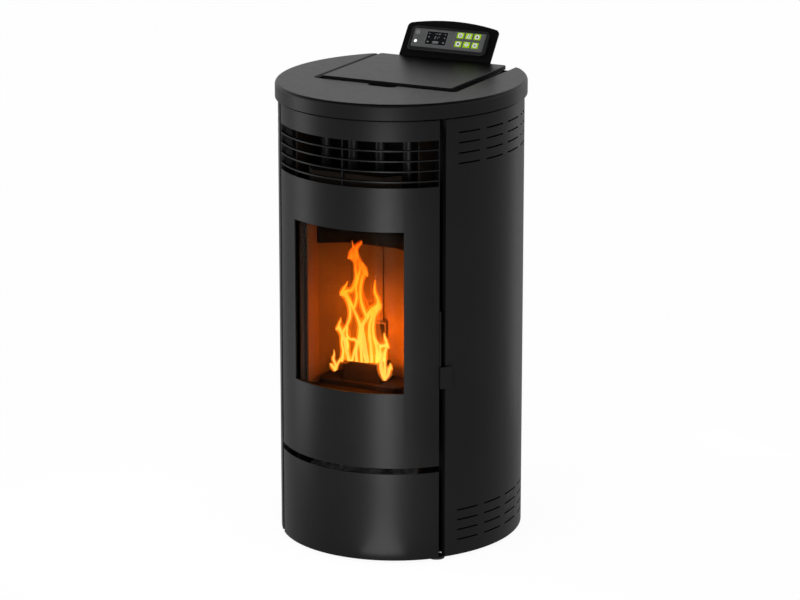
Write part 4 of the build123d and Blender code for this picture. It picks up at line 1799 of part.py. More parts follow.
with BuildPart() as drawer_runners:
    for side in (-1, 1):
        with BuildSketch(level(BASE_Z + BASE_T)):
            web_x = side * (DRAWER_HALF + FIT + RUNNER_T)
            foot_x = web_x + side * RUNNER_FOOT
            add(rect(min(web_x, foot_x), max(web_x, foot_x), RUNNER_Y0, DRAWER_Y1))
        extrude(amount=RUNNER_T)
        with BuildSketch(level(BASE_Z + BASE_T)):
            inner_x = side * (DRAWER_HALF + FIT)
            add(rect(min(web_x, inner_x), max(web_x, inner_x), RUNNER_Y0, DRAWER_Y1))
        extrude(amount=RUNNER_H)
        with BuildSketch(level(DRAWER_Z0 - FIT - RUNNER_T)):
            ledge_x = web_x - side * RUNNER_LEDGE
            add(rect(min(web_x, ledge_x), max(web_x, ledge_x), RUNNER_Y0, DRAWER_Y1))
        extrude(amount=RUNNER_T)
finish(drawer_runners.part, "drawer_runners")
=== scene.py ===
import json
import math
import random

import bmesh
import bpy
from mathutils import Matrix, Vector


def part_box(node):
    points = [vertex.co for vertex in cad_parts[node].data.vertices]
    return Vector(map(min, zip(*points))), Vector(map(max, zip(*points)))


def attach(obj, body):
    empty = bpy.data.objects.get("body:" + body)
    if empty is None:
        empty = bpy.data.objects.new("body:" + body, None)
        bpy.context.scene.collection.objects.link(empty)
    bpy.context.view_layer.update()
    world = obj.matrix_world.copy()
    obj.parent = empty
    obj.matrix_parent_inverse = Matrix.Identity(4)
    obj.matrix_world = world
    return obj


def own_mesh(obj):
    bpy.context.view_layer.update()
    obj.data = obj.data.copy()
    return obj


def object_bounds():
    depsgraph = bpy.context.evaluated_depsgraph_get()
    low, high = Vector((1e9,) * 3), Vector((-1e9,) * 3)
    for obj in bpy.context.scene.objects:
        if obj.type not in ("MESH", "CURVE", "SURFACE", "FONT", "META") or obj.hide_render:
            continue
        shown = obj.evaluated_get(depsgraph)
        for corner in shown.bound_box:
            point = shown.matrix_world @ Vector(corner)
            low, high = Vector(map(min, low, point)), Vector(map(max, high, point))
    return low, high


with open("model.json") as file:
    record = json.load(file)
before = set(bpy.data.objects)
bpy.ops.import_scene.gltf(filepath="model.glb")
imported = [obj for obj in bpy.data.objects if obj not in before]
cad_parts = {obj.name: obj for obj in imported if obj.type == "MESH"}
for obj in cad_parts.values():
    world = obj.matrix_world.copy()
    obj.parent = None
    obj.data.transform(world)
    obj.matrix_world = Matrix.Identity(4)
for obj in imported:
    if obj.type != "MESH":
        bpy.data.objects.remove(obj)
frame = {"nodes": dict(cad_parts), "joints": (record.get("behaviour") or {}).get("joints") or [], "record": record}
cad_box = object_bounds()
MM = 0.001

# --- Camera -----------------------------------------------------------------------------
EYE = Vector((3.1495, -6.1809, 2.3952))
LOOK = Vector((-0.4378, 0.8593, -0.2646))
LENS = 154.74  # millimetres
SENSOR_WIDTH = 36.0  # millimetres
FARTHEST = 60.0  # metres
camera_data = bpy.data.cameras.new("camera")
camera_data.lens = LENS
camera_data.sensor_width = SENSOR_WIDTH
camera_data.sensor_fit = "HORIZONTAL"
camera_data.clip_end = FARTHEST
camera = bpy.data.objects.new("camera", camera_data)
camera.location = EYE
camera.rotation_euler = LOOK.to_track_quat("-Z", "Y").to_euler()
bpy.context.scene.collection.objects.link(camera)
bpy.context.scene.camera = camera
bpy.context.scene.view_settings.view_transform = "Standard"


# --- Materials --------------------------------------------------------------------------
WHOLE = (0.0, 1.0)
MIDDLE = (0.3, 0.7)  # where most values of a noise lie
WHITE = (1.0, 1.0, 1.0)


def math_node(tree, operation, first, second):
    """Result of a Math node whose two inputs are sockets or plain numbers."""
    made = tree.nodes.new("ShaderNodeMath")
    made.operation = operation
    for socket, value in zip(made.inputs, (first, second)):
        if isinstance(value, (int, float)):
            socket.default_value = value
        else:
            tree.links.new(value, socket)
    return made.outputs["Value"]


class Finish:
    """A node material whose patterns are laid out in the part's own metres."""

    def __init__(self, name):
        self.material = bpy.data.materials.new(name)
        self.material.use_nodes = True
        self.tree = self.material.node_tree
        self.shader = self.tree.nodes["Principled BSDF"]
        self.output = self.tree.nodes["Material Output"]
        self.place = self.node("ShaderNodeTexCoord").outputs["Object"]

    def node(self, kind, **settings):
        made = self.tree.nodes.new(kind)
        for key, value in settings.items():
            setattr(made, key, value)
        return made

    def link(self, start, end):
        self.tree.links.new(start, end)

    def plain(self, **values):
        """Sets inputs of the shader that are the same all over the surface."""
        for key, value in values.items():
            self.shader.inputs[key.replace("_", " ")].default_value = value

    def stretched(self, scale):
        """The part's own metres, drawn out or squeezed along each axis."""
        mapping = self.node("ShaderNodeMapping")
        mapping.inputs["Scale"].default_value = scale
        self.link(self.place, mapping.inputs["Vector"])
        return mapping.outputs["Vector"]

    def height(self):
        split = self.node("ShaderNodeSeparateXYZ")
        self.link(self.place, split.inputs["Vector"])
        return split.outputs["Z"]

    def noise(self, scale, detail=3.0, roughness=0.55, at=None, distortion=0.0):
        made = self.node("ShaderNodeTexNoise")
        made.inputs["Scale"].default_value = scale
        made.inputs["Detail"].default_value = detail
        made.inputs["Roughness"].default_value = roughness
        made.inputs["Distortion"].default_value = distortion
        self.link(at or self.place, made.inputs["Vector"])
        return made.outputs["Fac"]

    def cells(self, scale, output="Distance", feature="F1"):
        made = self.node("ShaderNodeTexVoronoi", feature=feature)
        made.inputs["Scale"].default_value = scale
        self.link(self.place, made.inputs["Vector"])
        return made.outputs[output]

    def ramp(self, pattern, *stops):
        made = self.node("ShaderNodeValToRGB")
        points = made.color_ramp.elements
        while len(points) < len(stops):
            points.new(0.5)
        for point, (position, colour) in zip(points, stops):
            point.position = position
            point.color = (*colour, 1.0)
        self.link(pattern, made.inputs["Fac"])
        return made.outputs["Color"]

    def level(self, pattern, low, high, span=WHOLE):
        """A value that goes from low to high as the pattern crosses the span."""
        made = self.node("ShaderNodeMapRange")
        made.inputs["From Min"].default_value = span[0]
        made.inputs["From Max"].default_value = span[1]
        made.inputs["To Min"].default_value = low
        made.inputs["To Max"].default_value = high
        self.link(pattern, made.inputs["Value"])
        return made.outputs["Result"]

    def maths(self, operation, first, second):
        return math_node(self.tree, operation, first, second)

    def colour(self, socket):
        self.link(socket, self.shader.inputs["Base Color"])

    def tones(self, pattern, first, second, span=MIDDLE):
        """Base colour that goes from one tone to the other as the pattern crosses the span."""
        self.colour(self.ramp(pattern, (span[0], first), (span[1], second)))

    def rough(self, pattern, low, high, span=WHOLE):
        self.link(self.level(pattern, low, high, span), self.shader.inputs["Roughness"])

    def bump(self, pattern, distance, strength):
        made = self.node("ShaderNodeBump")
        made.inputs["Strength"].default_value = strength
        made.inputs["Distance"].default_value = distance
        self.link(pattern, made.inputs["Height"])
        self.link(made.outputs["Normal"], self.shader.inputs["Normal"])

    def glow_only(self):
        """The glow is seen, but the surface doesn't act as a lamp."""
        self.material.cycles.emission_sampling = "NONE"


def painted_sheet():
    """Satin black powder coat: faint mottling and a fine orange peel."""
    finish = Finish("painted_sheet")
    mottle = finish.noise(5.0, detail=4.0)
    finish.tones(mottle, (0.0026, 0.0026, 0.0027), (0.0038, 0.0038, 0.0039))
    finish.rough(finish.noise(60.0), 0.375, 0.405, MIDDLE)
    finish.bump(finish.noise(850.0, detail=2.0), distance=0.00002, strength=0.35)
    finish.plain(Specular_IOR_Level=0.16)
    return finish.material


def casting():
    """Sooty brown iron with a sandy skin."""
    finish = Finish("casting")
    grain = finish.noise(240.0, detail=5.0, roughness=0.7)
    soot = finish.noise(30.0, detail=4.0)
    finish.tones(soot, (0.009, 0.0055, 0.0032), (0.026, 0.0145, 0.007), (0.3, 0.75))
    finish.rough(grain, 0.62, 0.85, MIDDLE)
    finish.bump(grain, distance=0.0004, strength=0.5)
    finish.plain(Specular_IOR_Level=0.15)
    return finish.material


def heat_paint():
    """Matt heat-proof paint, browned where it gets hot."""
    finish = Finish("heat_paint")
    cloud = finish.noise(9.0, detail=5.0, roughness=0.6)
    black, dark_brown, brown = (0.006, 0.0046, 0.0036), (0.01, 0.007, 0.005), (0.02, 0.012, 0.007)
    finish.colour(finish.ramp(cloud, (0.28, black), (0.55, dark_brown), (0.8, brown)))
    finish.rough(finish.noise(120.0, detail=4.0), 0.55, 0.75, MIDDLE)
    finish.bump(finish.noise(600.0), distance=0.00004, strength=0.4)
    finish.plain(Specular_IOR_Level=0.05)
    return finish.material


def ashy_steel():
    """Steel tube dusted with brown ash."""
    finish = Finish("ashy_steel")
    dust = finish.noise(60.0, detail=5.0, roughness=0.6)
    finish.tones(dust, (0.11, 0.055, 0.014), (0.19, 0.095, 0.024))
    finish.rough(finish.noise(300.0), 0.8, 0.95, MIDDLE)
    finish.bump(dust, distance=0.0002, strength=0.4)
    finish.plain(Specular_IOR_Level=0.05)
    return finish.material


def zinc():
    """Zinc plated sheet: large soft spangles of slightly different greys."""
    finish = Finish("zinc")
    grey = finish.node("ShaderNodeRGBToBW")
    finish.link(finish.cells(75.0, output="Color"), grey.inputs["Color"])
    spangle = grey.outputs["Val"]
    finish.tones(spangle, (0.4, 0.41, 0.42), (0.58, 0.59, 0.6), (0.1, 0.9))
    finish.rough(spangle, 0.34, 0.52)
    finish.bump(finish.noise(400.0), distance=0.00003, strength=0.3)
    finish.plain(Metallic=0.92)
    return finish.material


def tube():
    """Drawn steel, with fine lines along its length and a straw heat tint."""
    finish = Finish("tube")
    upright = finish.stretched((22.0, 22.0, 1.0))
    lines = finish.noise(60.0, detail=4.0, roughness=0.6, at=upright)
    finish.tones(finish.noise(12.0), (0.3, 0.3, 0.31), (0.4, 0.37, 0.34))
    finish.rough(lines, 0.28, 0.5, MIDDLE)
    finish.bump(lines, distance=0.00003, strength=0.3)
    finish.plain(Metallic=0.9)
    return finish.material


def fire_board():
    """Pressed mineral board: sandy, flecked, darkened by smoke in patches; its sand tones lean to orange, a
    painted firelight tint.
    """
    finish = Finish("fire_board")
    fleck = finish.cells(420.0)
    smoke = finish.noise(7.0, detail=5.0, roughness=0.6)
    # Sand tones pushed towards orange: the board's own sandy colour with a painted firelight tint.
    dark_firelit_sand, firelit_sand, pale_firelit_sand = (0.11, 0.052, 0.01), (0.175, 0.085, 0.016), (0.22, 0.108, 0.022)
    board = finish.ramp(fleck, (0.1, dark_firelit_sand), (0.45, firelit_sand), (0.9, pale_firelit_sand))
    shade = finish.ramp(smoke, (0.25, (0.62, 0.58, 0.55)), (0.62, WHITE))
    mix = finish.node("ShaderNodeMix", data_type="RGBA", blend_type="MULTIPLY")
    mix.inputs["Factor"].default_value = 1.0
    finish.link(board, mix.inputs["A"])
    finish.link(shade, mix.inputs["B"])
    finish.colour(mix.outputs["Result"])
    finish.rough(smoke, 0.86, 0.96)
    grain = finish.noise(520.0, detail=4.0, roughness=0.7)
    finish.bump(grain, distance=0.0003, strength=0.45)
    finish.plain(Specular_IOR_Level=0.04)
    return finish.material


def door_glass():
    """Lightly smoked heat-proof glass with a breath of ash haze."""
    finish = Finish("door_glass")
    haze = finish.noise(14.0, detail=4.0)
    finish.tones(haze, (0.64, 0.61, 0.56), (0.59, 0.56, 0.51), (0.3, 0.8))
    finish.rough(haze, 0.0, 0.012, (0.45, 0.9))
    finish.plain(Transmission_Weight=1.0, IOR=1.06, Specular_IOR_Level=0.2)
    return finish.material


def rope():
    """Twisted glass-fibre rope, blackened by use."""
    finish = Finish("rope")
    wave = finish.node("ShaderNodeTexWave", wave_type="BANDS", bands_direction="DIAGONAL")
    wave.inputs["Scale"].default_value = 150.0
    wave.inputs["Distortion"].default_value = 1.5
    finish.link(finish.place, wave.inputs["Vector"])
    twist = wave.outputs["Fac"]
    fibre = finish.noise(900.0)
    finish.tones(twist, (0.012, 0.0115, 0.011), (0.045, 0.043, 0.041), (0.2, 0.8))
    finish.rough(fibre, 0.85, 1.0)
    finish.bump(finish.maths("ADD", twist, fibre), distance=0.0006, strength=0.6)
    finish.plain(Specular_IOR_Level=0.05)
    return finish.material


def seal():
    """Soft black silicone."""
    finish = Finish("seal")
    finish.tones(finish.noise(40.0), (0.012, 0.012, 0.012), (0.02, 0.02, 0.02))
    finish.rough(finish.noise(200.0), 0.5, 0.68)
    finish.bump(finish.noise(700.0), distance=0.00003, strength=0.3)
    return finish.material


def black_plastic():
    """Moulded housing plastic with a fine spark grain."""
    finish = Finish("black_plastic")
    grain = finish.noise(1500.0, detail=2.0)
    finish.tones(finish.noise(30.0), (0.0085, 0.0086, 0.009), (0.0125, 0.0127, 0.013))
    finish.rough(grain, 0.36, 0.52, MIDDLE)
    finish.bump(grain, distance=0.00004, strength=0.4)
    finish.plain(Specular_IOR_Level=0.45)
    return finish.material


def membrane():
    """Printed keypad film, mid grey with a faint tooth."""
    finish = Finish("membrane")
    tooth = finish.noise(2200.0, detail=2.0)
    cloud = finish.noise(60.0, detail=4.0)
    finish.tones(cloud, (0.082, 0.083, 0.084), (0.096, 0.097, 0.098))
    finish.rough(tooth, 0.5, 0.62, MIDDLE)
    finish.bump(tooth, distance=0.00002, strength=0.3)
    finish.plain(Specular_IOR_Level=0.35)
    return finish.material


def display():
    """Dark window under the lit dots."""
    finish = Finish("display")
    finish.tones(finish.noise(300.0), (0.006, 0.0065, 0.0075), (0.009, 0.0095, 0.011))
    finish.rough(finish.noise(80.0), 0.12, 0.2)
    finish.plain(Specular_IOR_Level=0.5)
    return finish.material


def lens():
    """Two domes: the lower one is lit white, the upper one is a smoky grey."""
    edge = 0.0005
    low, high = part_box("indicator_lenses")
    middle = (low.z + high.z) / 2
    finish = Finish("lens")
    lit = finish.level(finish.height(), 1.0, 0.0, (middle - edge, middle + edge))
    finish.tones(lit, (0.2, 0.2, 0.205), (0.9, 0.91, 0.92), WHOLE)
    finish.link(finish.level(lit, 0.0, 0.9), finish.shader.inputs["Emission Strength"])
    finish.plain(Emission_Color=(*WHITE, 1.0))
    finish.rough(finish.noise(500.0), 0.18, 0.3)
    return finish.material


def green_key():
    """Lime rubber key."""
    finish = Finish("green_key")
    tooth = finish.noise(1800.0, detail=2.0)
    finish.tones(finish.noise(90.0), (0.34, 0.6, 0.003), (0.39, 0.66, 0.006))
    finish.rough(tooth, 0.42, 0.58, MIDDLE)
    finish.bump(tooth, distance=0.00002, strength=0.3)
    finish.plain(Specular_IOR_Level=0.12)
    return finish.material


def motor_case():
    """Die-cast alloy, slightly dull."""
    finish = Finish("motor_case")
    cloud = finish.noise(35.0, detail=5.0)
    finish.tones(cloud, (0.4, 0.4, 0.405), (0.55, 0.55, 0.555))
    finish.rough(finish.noise(300.0), 0.4, 0.6)
    finish.bump(finish.noise(500.0, detail=4.0), distance=0.00008, strength=0.4)
    finish.plain(Metallic=0.85)
    return finish.material


def fan_wheel():
    """Bright sheet with light rolling lines."""
    finish = Finish("fan_wheel")
    sideways = finish.stretched((1.0, 14.0, 14.0))
    lines = finish.noise(80.0, detail=4.0, roughness=0.6, at=sideways)
    finish.tones(lines, (0.55, 0.55, 0.56), (0.68, 0.68, 0.69))
    finish.rough(lines, 0.3, 0.48)
    finish.plain(Metallic=0.9)
    return finish.material


def ink(name, colour, glow=0.0):
    """A printed or glowing colour, slightly speckled."""
    dimmed = 0.82
    finish = Finish(name)
    speck = finish.noise(1400.0, detail=2.0)
    finish.tones(speck, tuple(dimmed * channel for channel in colour), colour)
    finish.rough(speck, 0.45, 0.6)
    finish.plain(Emission_Color=(*colour, 1.0), Emission_Strength=glow)
    return finish.material


FINISHES = {
    "black_sheet": painted_sheet(),
    "black_casting": casting(),
    "firebox_steel": heat_paint(),
    "zinc_sheet": zinc(),
    "tube_steel": tube(),
    "ashy_steel": ashy_steel(),
    "fire_board": fire_board(),
    "door_glass": door_glass(),
    "rope": rope(),
    "seal_rubber": seal(),
    "black_plastic": black_plastic(),
    "membrane": membrane(),
    "display": display(),
    "lens": lens(),
    "green_keys": green_key(),
    "motor_case": motor_case(),
    "fan_wheel": fan_wheel(),
}
# Nodes whose surface isn't the bare material of their slot.
NODE_FINISHES = {
    "auger_tube": "ashy_steel",
    # The base plate takes black paint over its zinc. This also stands in for the shade of the gap where it shows:
    # painted shade.
    "base_plate": "black_sheet",
    "door_inner_frame": "firebox_steel",
    "heat_exchanger_tubes": "black_sheet",
    # The hopper takes black paint over its zinc. This also stands in for the shade behind the grille: painted
    # shade.
    "hopper": "black_sheet",
}
for part in frame["record"]["subparts"]:
    mesh = frame["nodes"][part["node"]].data
    mesh.materials.clear()
    mesh.materials.append(FINISHES[NODE_FINISHES.get(part["node"], part["material_slot"])])


# --- Building pieces --------------------------------------------------------------------
def piece(name, mesh_builder, material, body):
    mesh = bpy.data.meshes.new(name)
    mesh_builder.to_mesh(mesh)
    mesh_builder.free()
    made = bpy.data.objects.new(name, mesh)
    bpy.context.scene.collection.objects.link(made)
    mesh.materials.append(material)
    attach(made, body)
    return made


def smooth(made):
    made.data.polygons.foreach_set("use_smooth", [True] * len(made.data.polygons))


def wrap(bm, loops):
    """Faces from each ring of points to the next."""
    for low, high in zip(loops, loops[1:]):
        for k in range(len(low)):
            bm.faces.new((low[k - 1], low[k], high[k], high[k - 1]))


# --- Keypad: its own axes ---------------------------------------------------------------
# Places on the keypad are millimetres across (u) and up the leaning plate (v) from its
# foot, and out from it. The keys are pressed straight into the plate.
key_press = next(joint for joint in frame["joints"] if joint["name"] == "key_1_press")
PAD_FOOT = Vector((0.0, 0.2074, 0.9695))
PAD_ACROSS = Vector((1.0, 0.0, 0.0))
PAD_OUT = -Vector(key_press["axis"])
PAD_UP = PAD_OUT.cross(PAD_ACROSS)
PRINT = 0.12  # thickness of a print


def pad(u, v, out):
    """The point of a place on the keypad."""
    return PAD_FOOT + MM * (PAD_ACROSS * u + PAD_UP * v + PAD_OUT * out)


def spread(node, axis):
    """How far a node reaches along one of the keypad's axes: least and most."""
    reach = [(point.co - PAD_FOOT).dot(axis) / MM for point in frame["nodes"][node].data.vertices]
    return min(reach), max(reach)


def centre_of(node):
    return sum(spread(node, PAD_ACROSS)) / 2, sum(spread(node, PAD_UP)) / 2


def face_of(node):
    return spread(node, PAD_OUT)[1]


# --- Keypad: printed shapes -------------------------------------------------------------
def tile(bm, outline, level):
    """A thin printed shape with a flat face and walls, from its outline in u and v."""
    low = [bm.verts.new(pad(u, v, level)) for u, v in outline]
    high = [bm.verts.new(pad(u, v, level + PRINT)) for u, v in outline]
    bm.faces.new(high)
    wrap(bm, (low, high))


def bar(bm, u, v, width, height, level, slant=0.0):
    """A block around its middle; slant shifts its top edge to the right, its bottom left."""
    half_w, half_h = width / 2, height / 2
    outline = [
        (u - half_w - slant, v - half_h),
        (u + half_w - slant, v - half_h),
        (u + half_w + slant, v + half_h),
        (u - half_w + slant, v + half_h),
    ]
    tile(bm, outline, level)


def ring(bm, u, v, outer, inner, level, start=0.0, end=360.0, steps=40):
    """A ring or part of one, as a row of joined tiles; start and end are degrees."""
    for k in range(steps):
        angles = [math.radians(start + (end - start) * j / steps) for j in (k, k + 1)]
        (cos_a, sin_a), (cos_b, sin_b) = [(math.cos(angle), math.sin(angle)) for angle in angles]
        outline = [
            (u + inner * cos_a, v + inner * sin_a),
            (u + outer * cos_a, v + outer * sin_a),
            (u + outer * cos_b, v + outer * sin_b),
            (u + inner * cos_b, v + inner * sin_b),
        ]
        tile(bm, outline, level)


def disc(bm, u, v, radius, level, steps=28):
    turns = [math.radians(360 * k / steps) for k in range(steps)]
    tile(bm, [(u + radius * math.cos(a), v + radius * math.sin(a)) for a in turns], level)


# Strokes of the digits, named as on any seven-stroke display.
SEGMENTS = {"0": "abcdef", "1": "bc", "2": "abged", "3": "abgcd"}
DIGIT_WIDTH = 0.5  # shares of a digit's height
DIGIT_STROKE = 0.13


def digit(bm, sign, u, v, height, level):
    """A number drawn with the seven strokes of a plain display, around its middle."""
    width, stroke = height * DIGIT_WIDTH, height * DIGIT_STROKE
    places = {
        "a": (0, height / 2, True),
        "g": (0, 0, True),
        "d": (0, -height / 2, True),
        "f": (-width / 2, height / 4, False),
        "b": (width / 2, height / 4, False),
        "e": (-width / 2, -height / 4, False),
        "c": (width / 2, -height / 4, False),
    }
    for segment in SEGMENTS[sign]:
        across, up, lying = places[segment]
        length = (width if lying else height / 2) - stroke * 0.5
        size = (length, stroke) if lying else (stroke, length)
        bar(bm, u + across, v + up, *size, level)


def number(bm, signs, u, v, height, pitch, level):
    """A row of digits; u and v are the middle of the first."""
    for k, sign in enumerate(signs):
        digit(bm, sign, u + pitch * k, v, height, level)


# --- Keypad: signs on the keys ----------------------------------------------------------
# Each sign has a white print on the key's face and a dark print over it. Their places and
# sizes are millimetres from the key's middle.
PATCH_R = 5.2


def broken_ring_sign(white, dark, u, v, face, over):
    """A ring that is open at the top, with a stroke in the opening."""
    disc(white, u, v, PATCH_R, face)
    ring(dark, u, v, outer=2.8, inner=1.7, level=over, start=130, end=410)
    bar(dark, u, v + 1.8, width=1.1, height=2.8, level=over)


def two_strokes_sign(white, dark, u, v, face, over):
    """Two leaning strokes over a line."""
    for across in (-1.9, 2.5):
        bar(white, u + across, v + 0.6, width=2.6, height=7.0, level=face, slant=1.3)
    bar(white, u, v - 4.2, width=9.0, height=1.7, level=face)
    bar(dark, u + 0.3, v + 0.6, width=0.8, height=6.0, level=over, slant=1.1)


def drop_sign(white, dark, u, v, face, over):
    """A drop: a dot with a pointed top."""
    disc(white, u, v, PATCH_R, face)
    disc(dark, u, v - 0.8, 2.0, over)
    tile(dark, [(u - 1.7, v + 0.4), (u + 1.7, v + 0.4), (u, v + 3.2)], over)


def dot_sign(white, dark, u, v, face, over):
    disc(white, u, v, PATCH_R + 0.2, face)
    disc(dark, u, v, 2.4, over)


def arrow_sign(white, dark, u, v, face, over):
    """An arrow head that points down, under a line."""
    arms, tip, shoulder = 5.2, 5.2, 3.0
    outline = [
        (u - arms, v + 0.6),
        (u, v - tip),
        (u + arms, v + 0.6),
        (u + shoulder, v + 2.9),
        (u, v - 0.3),
        (u - shoulder, v + 2.9),
    ]
    tile(white, outline, face)
    bar(white, u, v + 4.3, width=6.0, height=1.7, level=face)
    bar(dark, u, v - 3.0, width=0.9, height=2.0, level=over)


def ring_sign(white, dark, u, v, face, over):
    disc(white, u, v, PATCH_R, face)
    ring(dark, u, v, outer=2.4, inner=1.2, level=over)


white_ink = ink("white_ink", (0.85, 0.86, 0.84))
dark_ink = ink("dark_ink", (0.02, 0.025, 0.02))
dot_glow = ink("dot_glow", (0.2, 0.205, 0.21), glow=0.3)
outline_ink = ink("outline_ink", (0.22, 0.223, 0.227))

KEY_SIGNS = {
    "key_1": broken_ring_sign,
    "key_2": two_strokes_sign,
    "key_3": drop_sign,
    "key_4": dot_sign,
    "key_5": arrow_sign,
    "key_6": ring_sign,
}
for key, sign in KEY_SIGNS.items():
    white, dark = bmesh.new(), bmesh.new()
    face = face_of(key)
    sign(white, dark, *centre_of(key), face, face + PRINT)
    piece(key + "_mark", dark, dark_ink, key)
    piece(key + "_symbol", white, white_ink, key)


# --- Keypad: display and lines ----------------------------------------------------------
SIGN_SIDE = 18.4  # of the small signs, either side of the display's middle
SMALL_RING_STEPS = 16
RECEIVER_PLACE = (-75.0, 51.4)
STATUS_LIGHT_PLACE = (-75.0, 30.8)
RECEIVER_RING_R = 5.9
STATUS_LIGHT_RING_R = 4.5
RING_WIDTH = 0.6
DISPLAY_FRAME = (25.0, 16.0)  # half its width and height
KEYS_FRAME = (31.6, 19.2)
LINE_WIDTH = 0.45


def display_dots():
    """A clock, a number of degrees, a row of five blocks, and small signs at the sides.

    Places and sizes are millimetres from the display's middle.
    """
    bm = bmesh.new()
    u, v = centre_of("display_module")
    screen = face_of("display_module")
    number(bm, "12", u - 4.4, v + 10.2, height=3.0, pitch=3.3, level=screen)
    number(bm, "30", u + 3.1, v + 10.2, height=3.0, pitch=3.3, level=screen)
    number(bm, "21", u - 3.4, v + 1.4, height=5.4, pitch=4.6, level=screen)
    ring(bm, u + 5.4, v + 3.4, outer=1.0, inner=0.55, level=screen, steps=SMALL_RING_STEPS)
    for k in range(5):
        bar(bm, u - 5.6 + 2.8 * k, v - 8.8, width=1.9, height=3.4, level=screen, slant=0.25)
    bar(bm, u, v - 12.2, width=15.0, height=0.7, level=screen)
    for side in (-SIGN_SIDE, SIGN_SIDE):
        bar(bm, u + side, v - 9.2, width=3.4, height=2.4, level=screen)
        ring(bm, u + side, v + 2.0, outer=1.5, inner=0.8, level=screen, steps=SMALL_RING_STEPS)
    bar(bm, u - 18.6, v + 10.0, width=2.6, height=1.1, level=screen)
    bar(bm, u + 18.2, v + 10.0, width=3.6, height=1.1, level=screen)
    return bm


def membrane_lines():
    """Frames around the display and the keys, and rings around the two domes."""
    bm = bmesh.new()
    film = face_of("keypad_membrane")
    display_frame = (*centre_of("display_module"), *DISPLAY_FRAME)
    keys_u, top_v = centre_of("key_2")
    bottom_v = centre_of("key_5")[1]
    keys_frame = (keys_u, (top_v + bottom_v) / 2, *KEYS_FRAME)
    for u, v, half_u, half_v in (display_frame, keys_frame):
        for side in (-1, 1):
            bar(bm, u + side * half_u, v, width=LINE_WIDTH, height=2 * half_v, level=film)
            bar(bm, u, v + side * half_v, width=2 * half_u, height=LINE_WIDTH, level=film)
    rings = (
        (RECEIVER_PLACE, RECEIVER_RING_R),
        (STATUS_LIGHT_PLACE, STATUS_LIGHT_RING_R),
    )
    for place, radius in rings:
        ring(bm, *place, outer=radius, inner=radius - RING_WIDTH, level=film)
    return bm


piece("display_dots", display_dots(), dot_glow, "stove")
piece("membrane_lines", membrane_lines(), outline_ink, "stove")


# --- Fire: places -----------------------------------------------------------------------
pot_low, pot_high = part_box("burn_pot")
FIRE_FOOT = Vector(((pot_low.x + pot_high.x) / 2, (pot_low.y + pot_high.y) / 2, pot_high.z))
FIRE_SIDE = Vector((0.8909, 0.4542, 0.0))  # to the right in the photographed view
FIRE_BACK = Vector((-0.4542, 0.8909, 0.0))  # level, away from the eye in that view


def fire(side, rise, back):
    """A place in the fire: across, up from the pot's rim and back from its middle."""
    return FIRE_FOOT + MM * (FIRE_SIDE * side + FIRE_BACK * back + Vector((0.0, 0.0, rise)))


# The tongues are sketched over an enlarged picture of the fire. A sketched point is
# right, down and half width, in steps of an eighth of a pixel of the 800 x 600 picture, from
# the sketch's corner. Each tongue also has its place behind the pot's middle, in millimetres.
SKETCH_LEFT_PIXEL = 292.0
SKETCH_TOP_PIXEL = 220.0
STEPS_PER_PIXEL = 8
FOOT_PIXEL_X = 367.0  # where the middle of the pot's rim shows
FOOT_PIXEL_Y = 360.0
PIXELS_PER_SIDE = 0.485  # of a millimetre across
PIXELS_PER_RISE = 0.4675  # of a millimetre up
PIXELS_PER_BACK = 0.136  # of a millimetre back, which shows as a rise
LEAST_HALF_WIDTH = 0.4

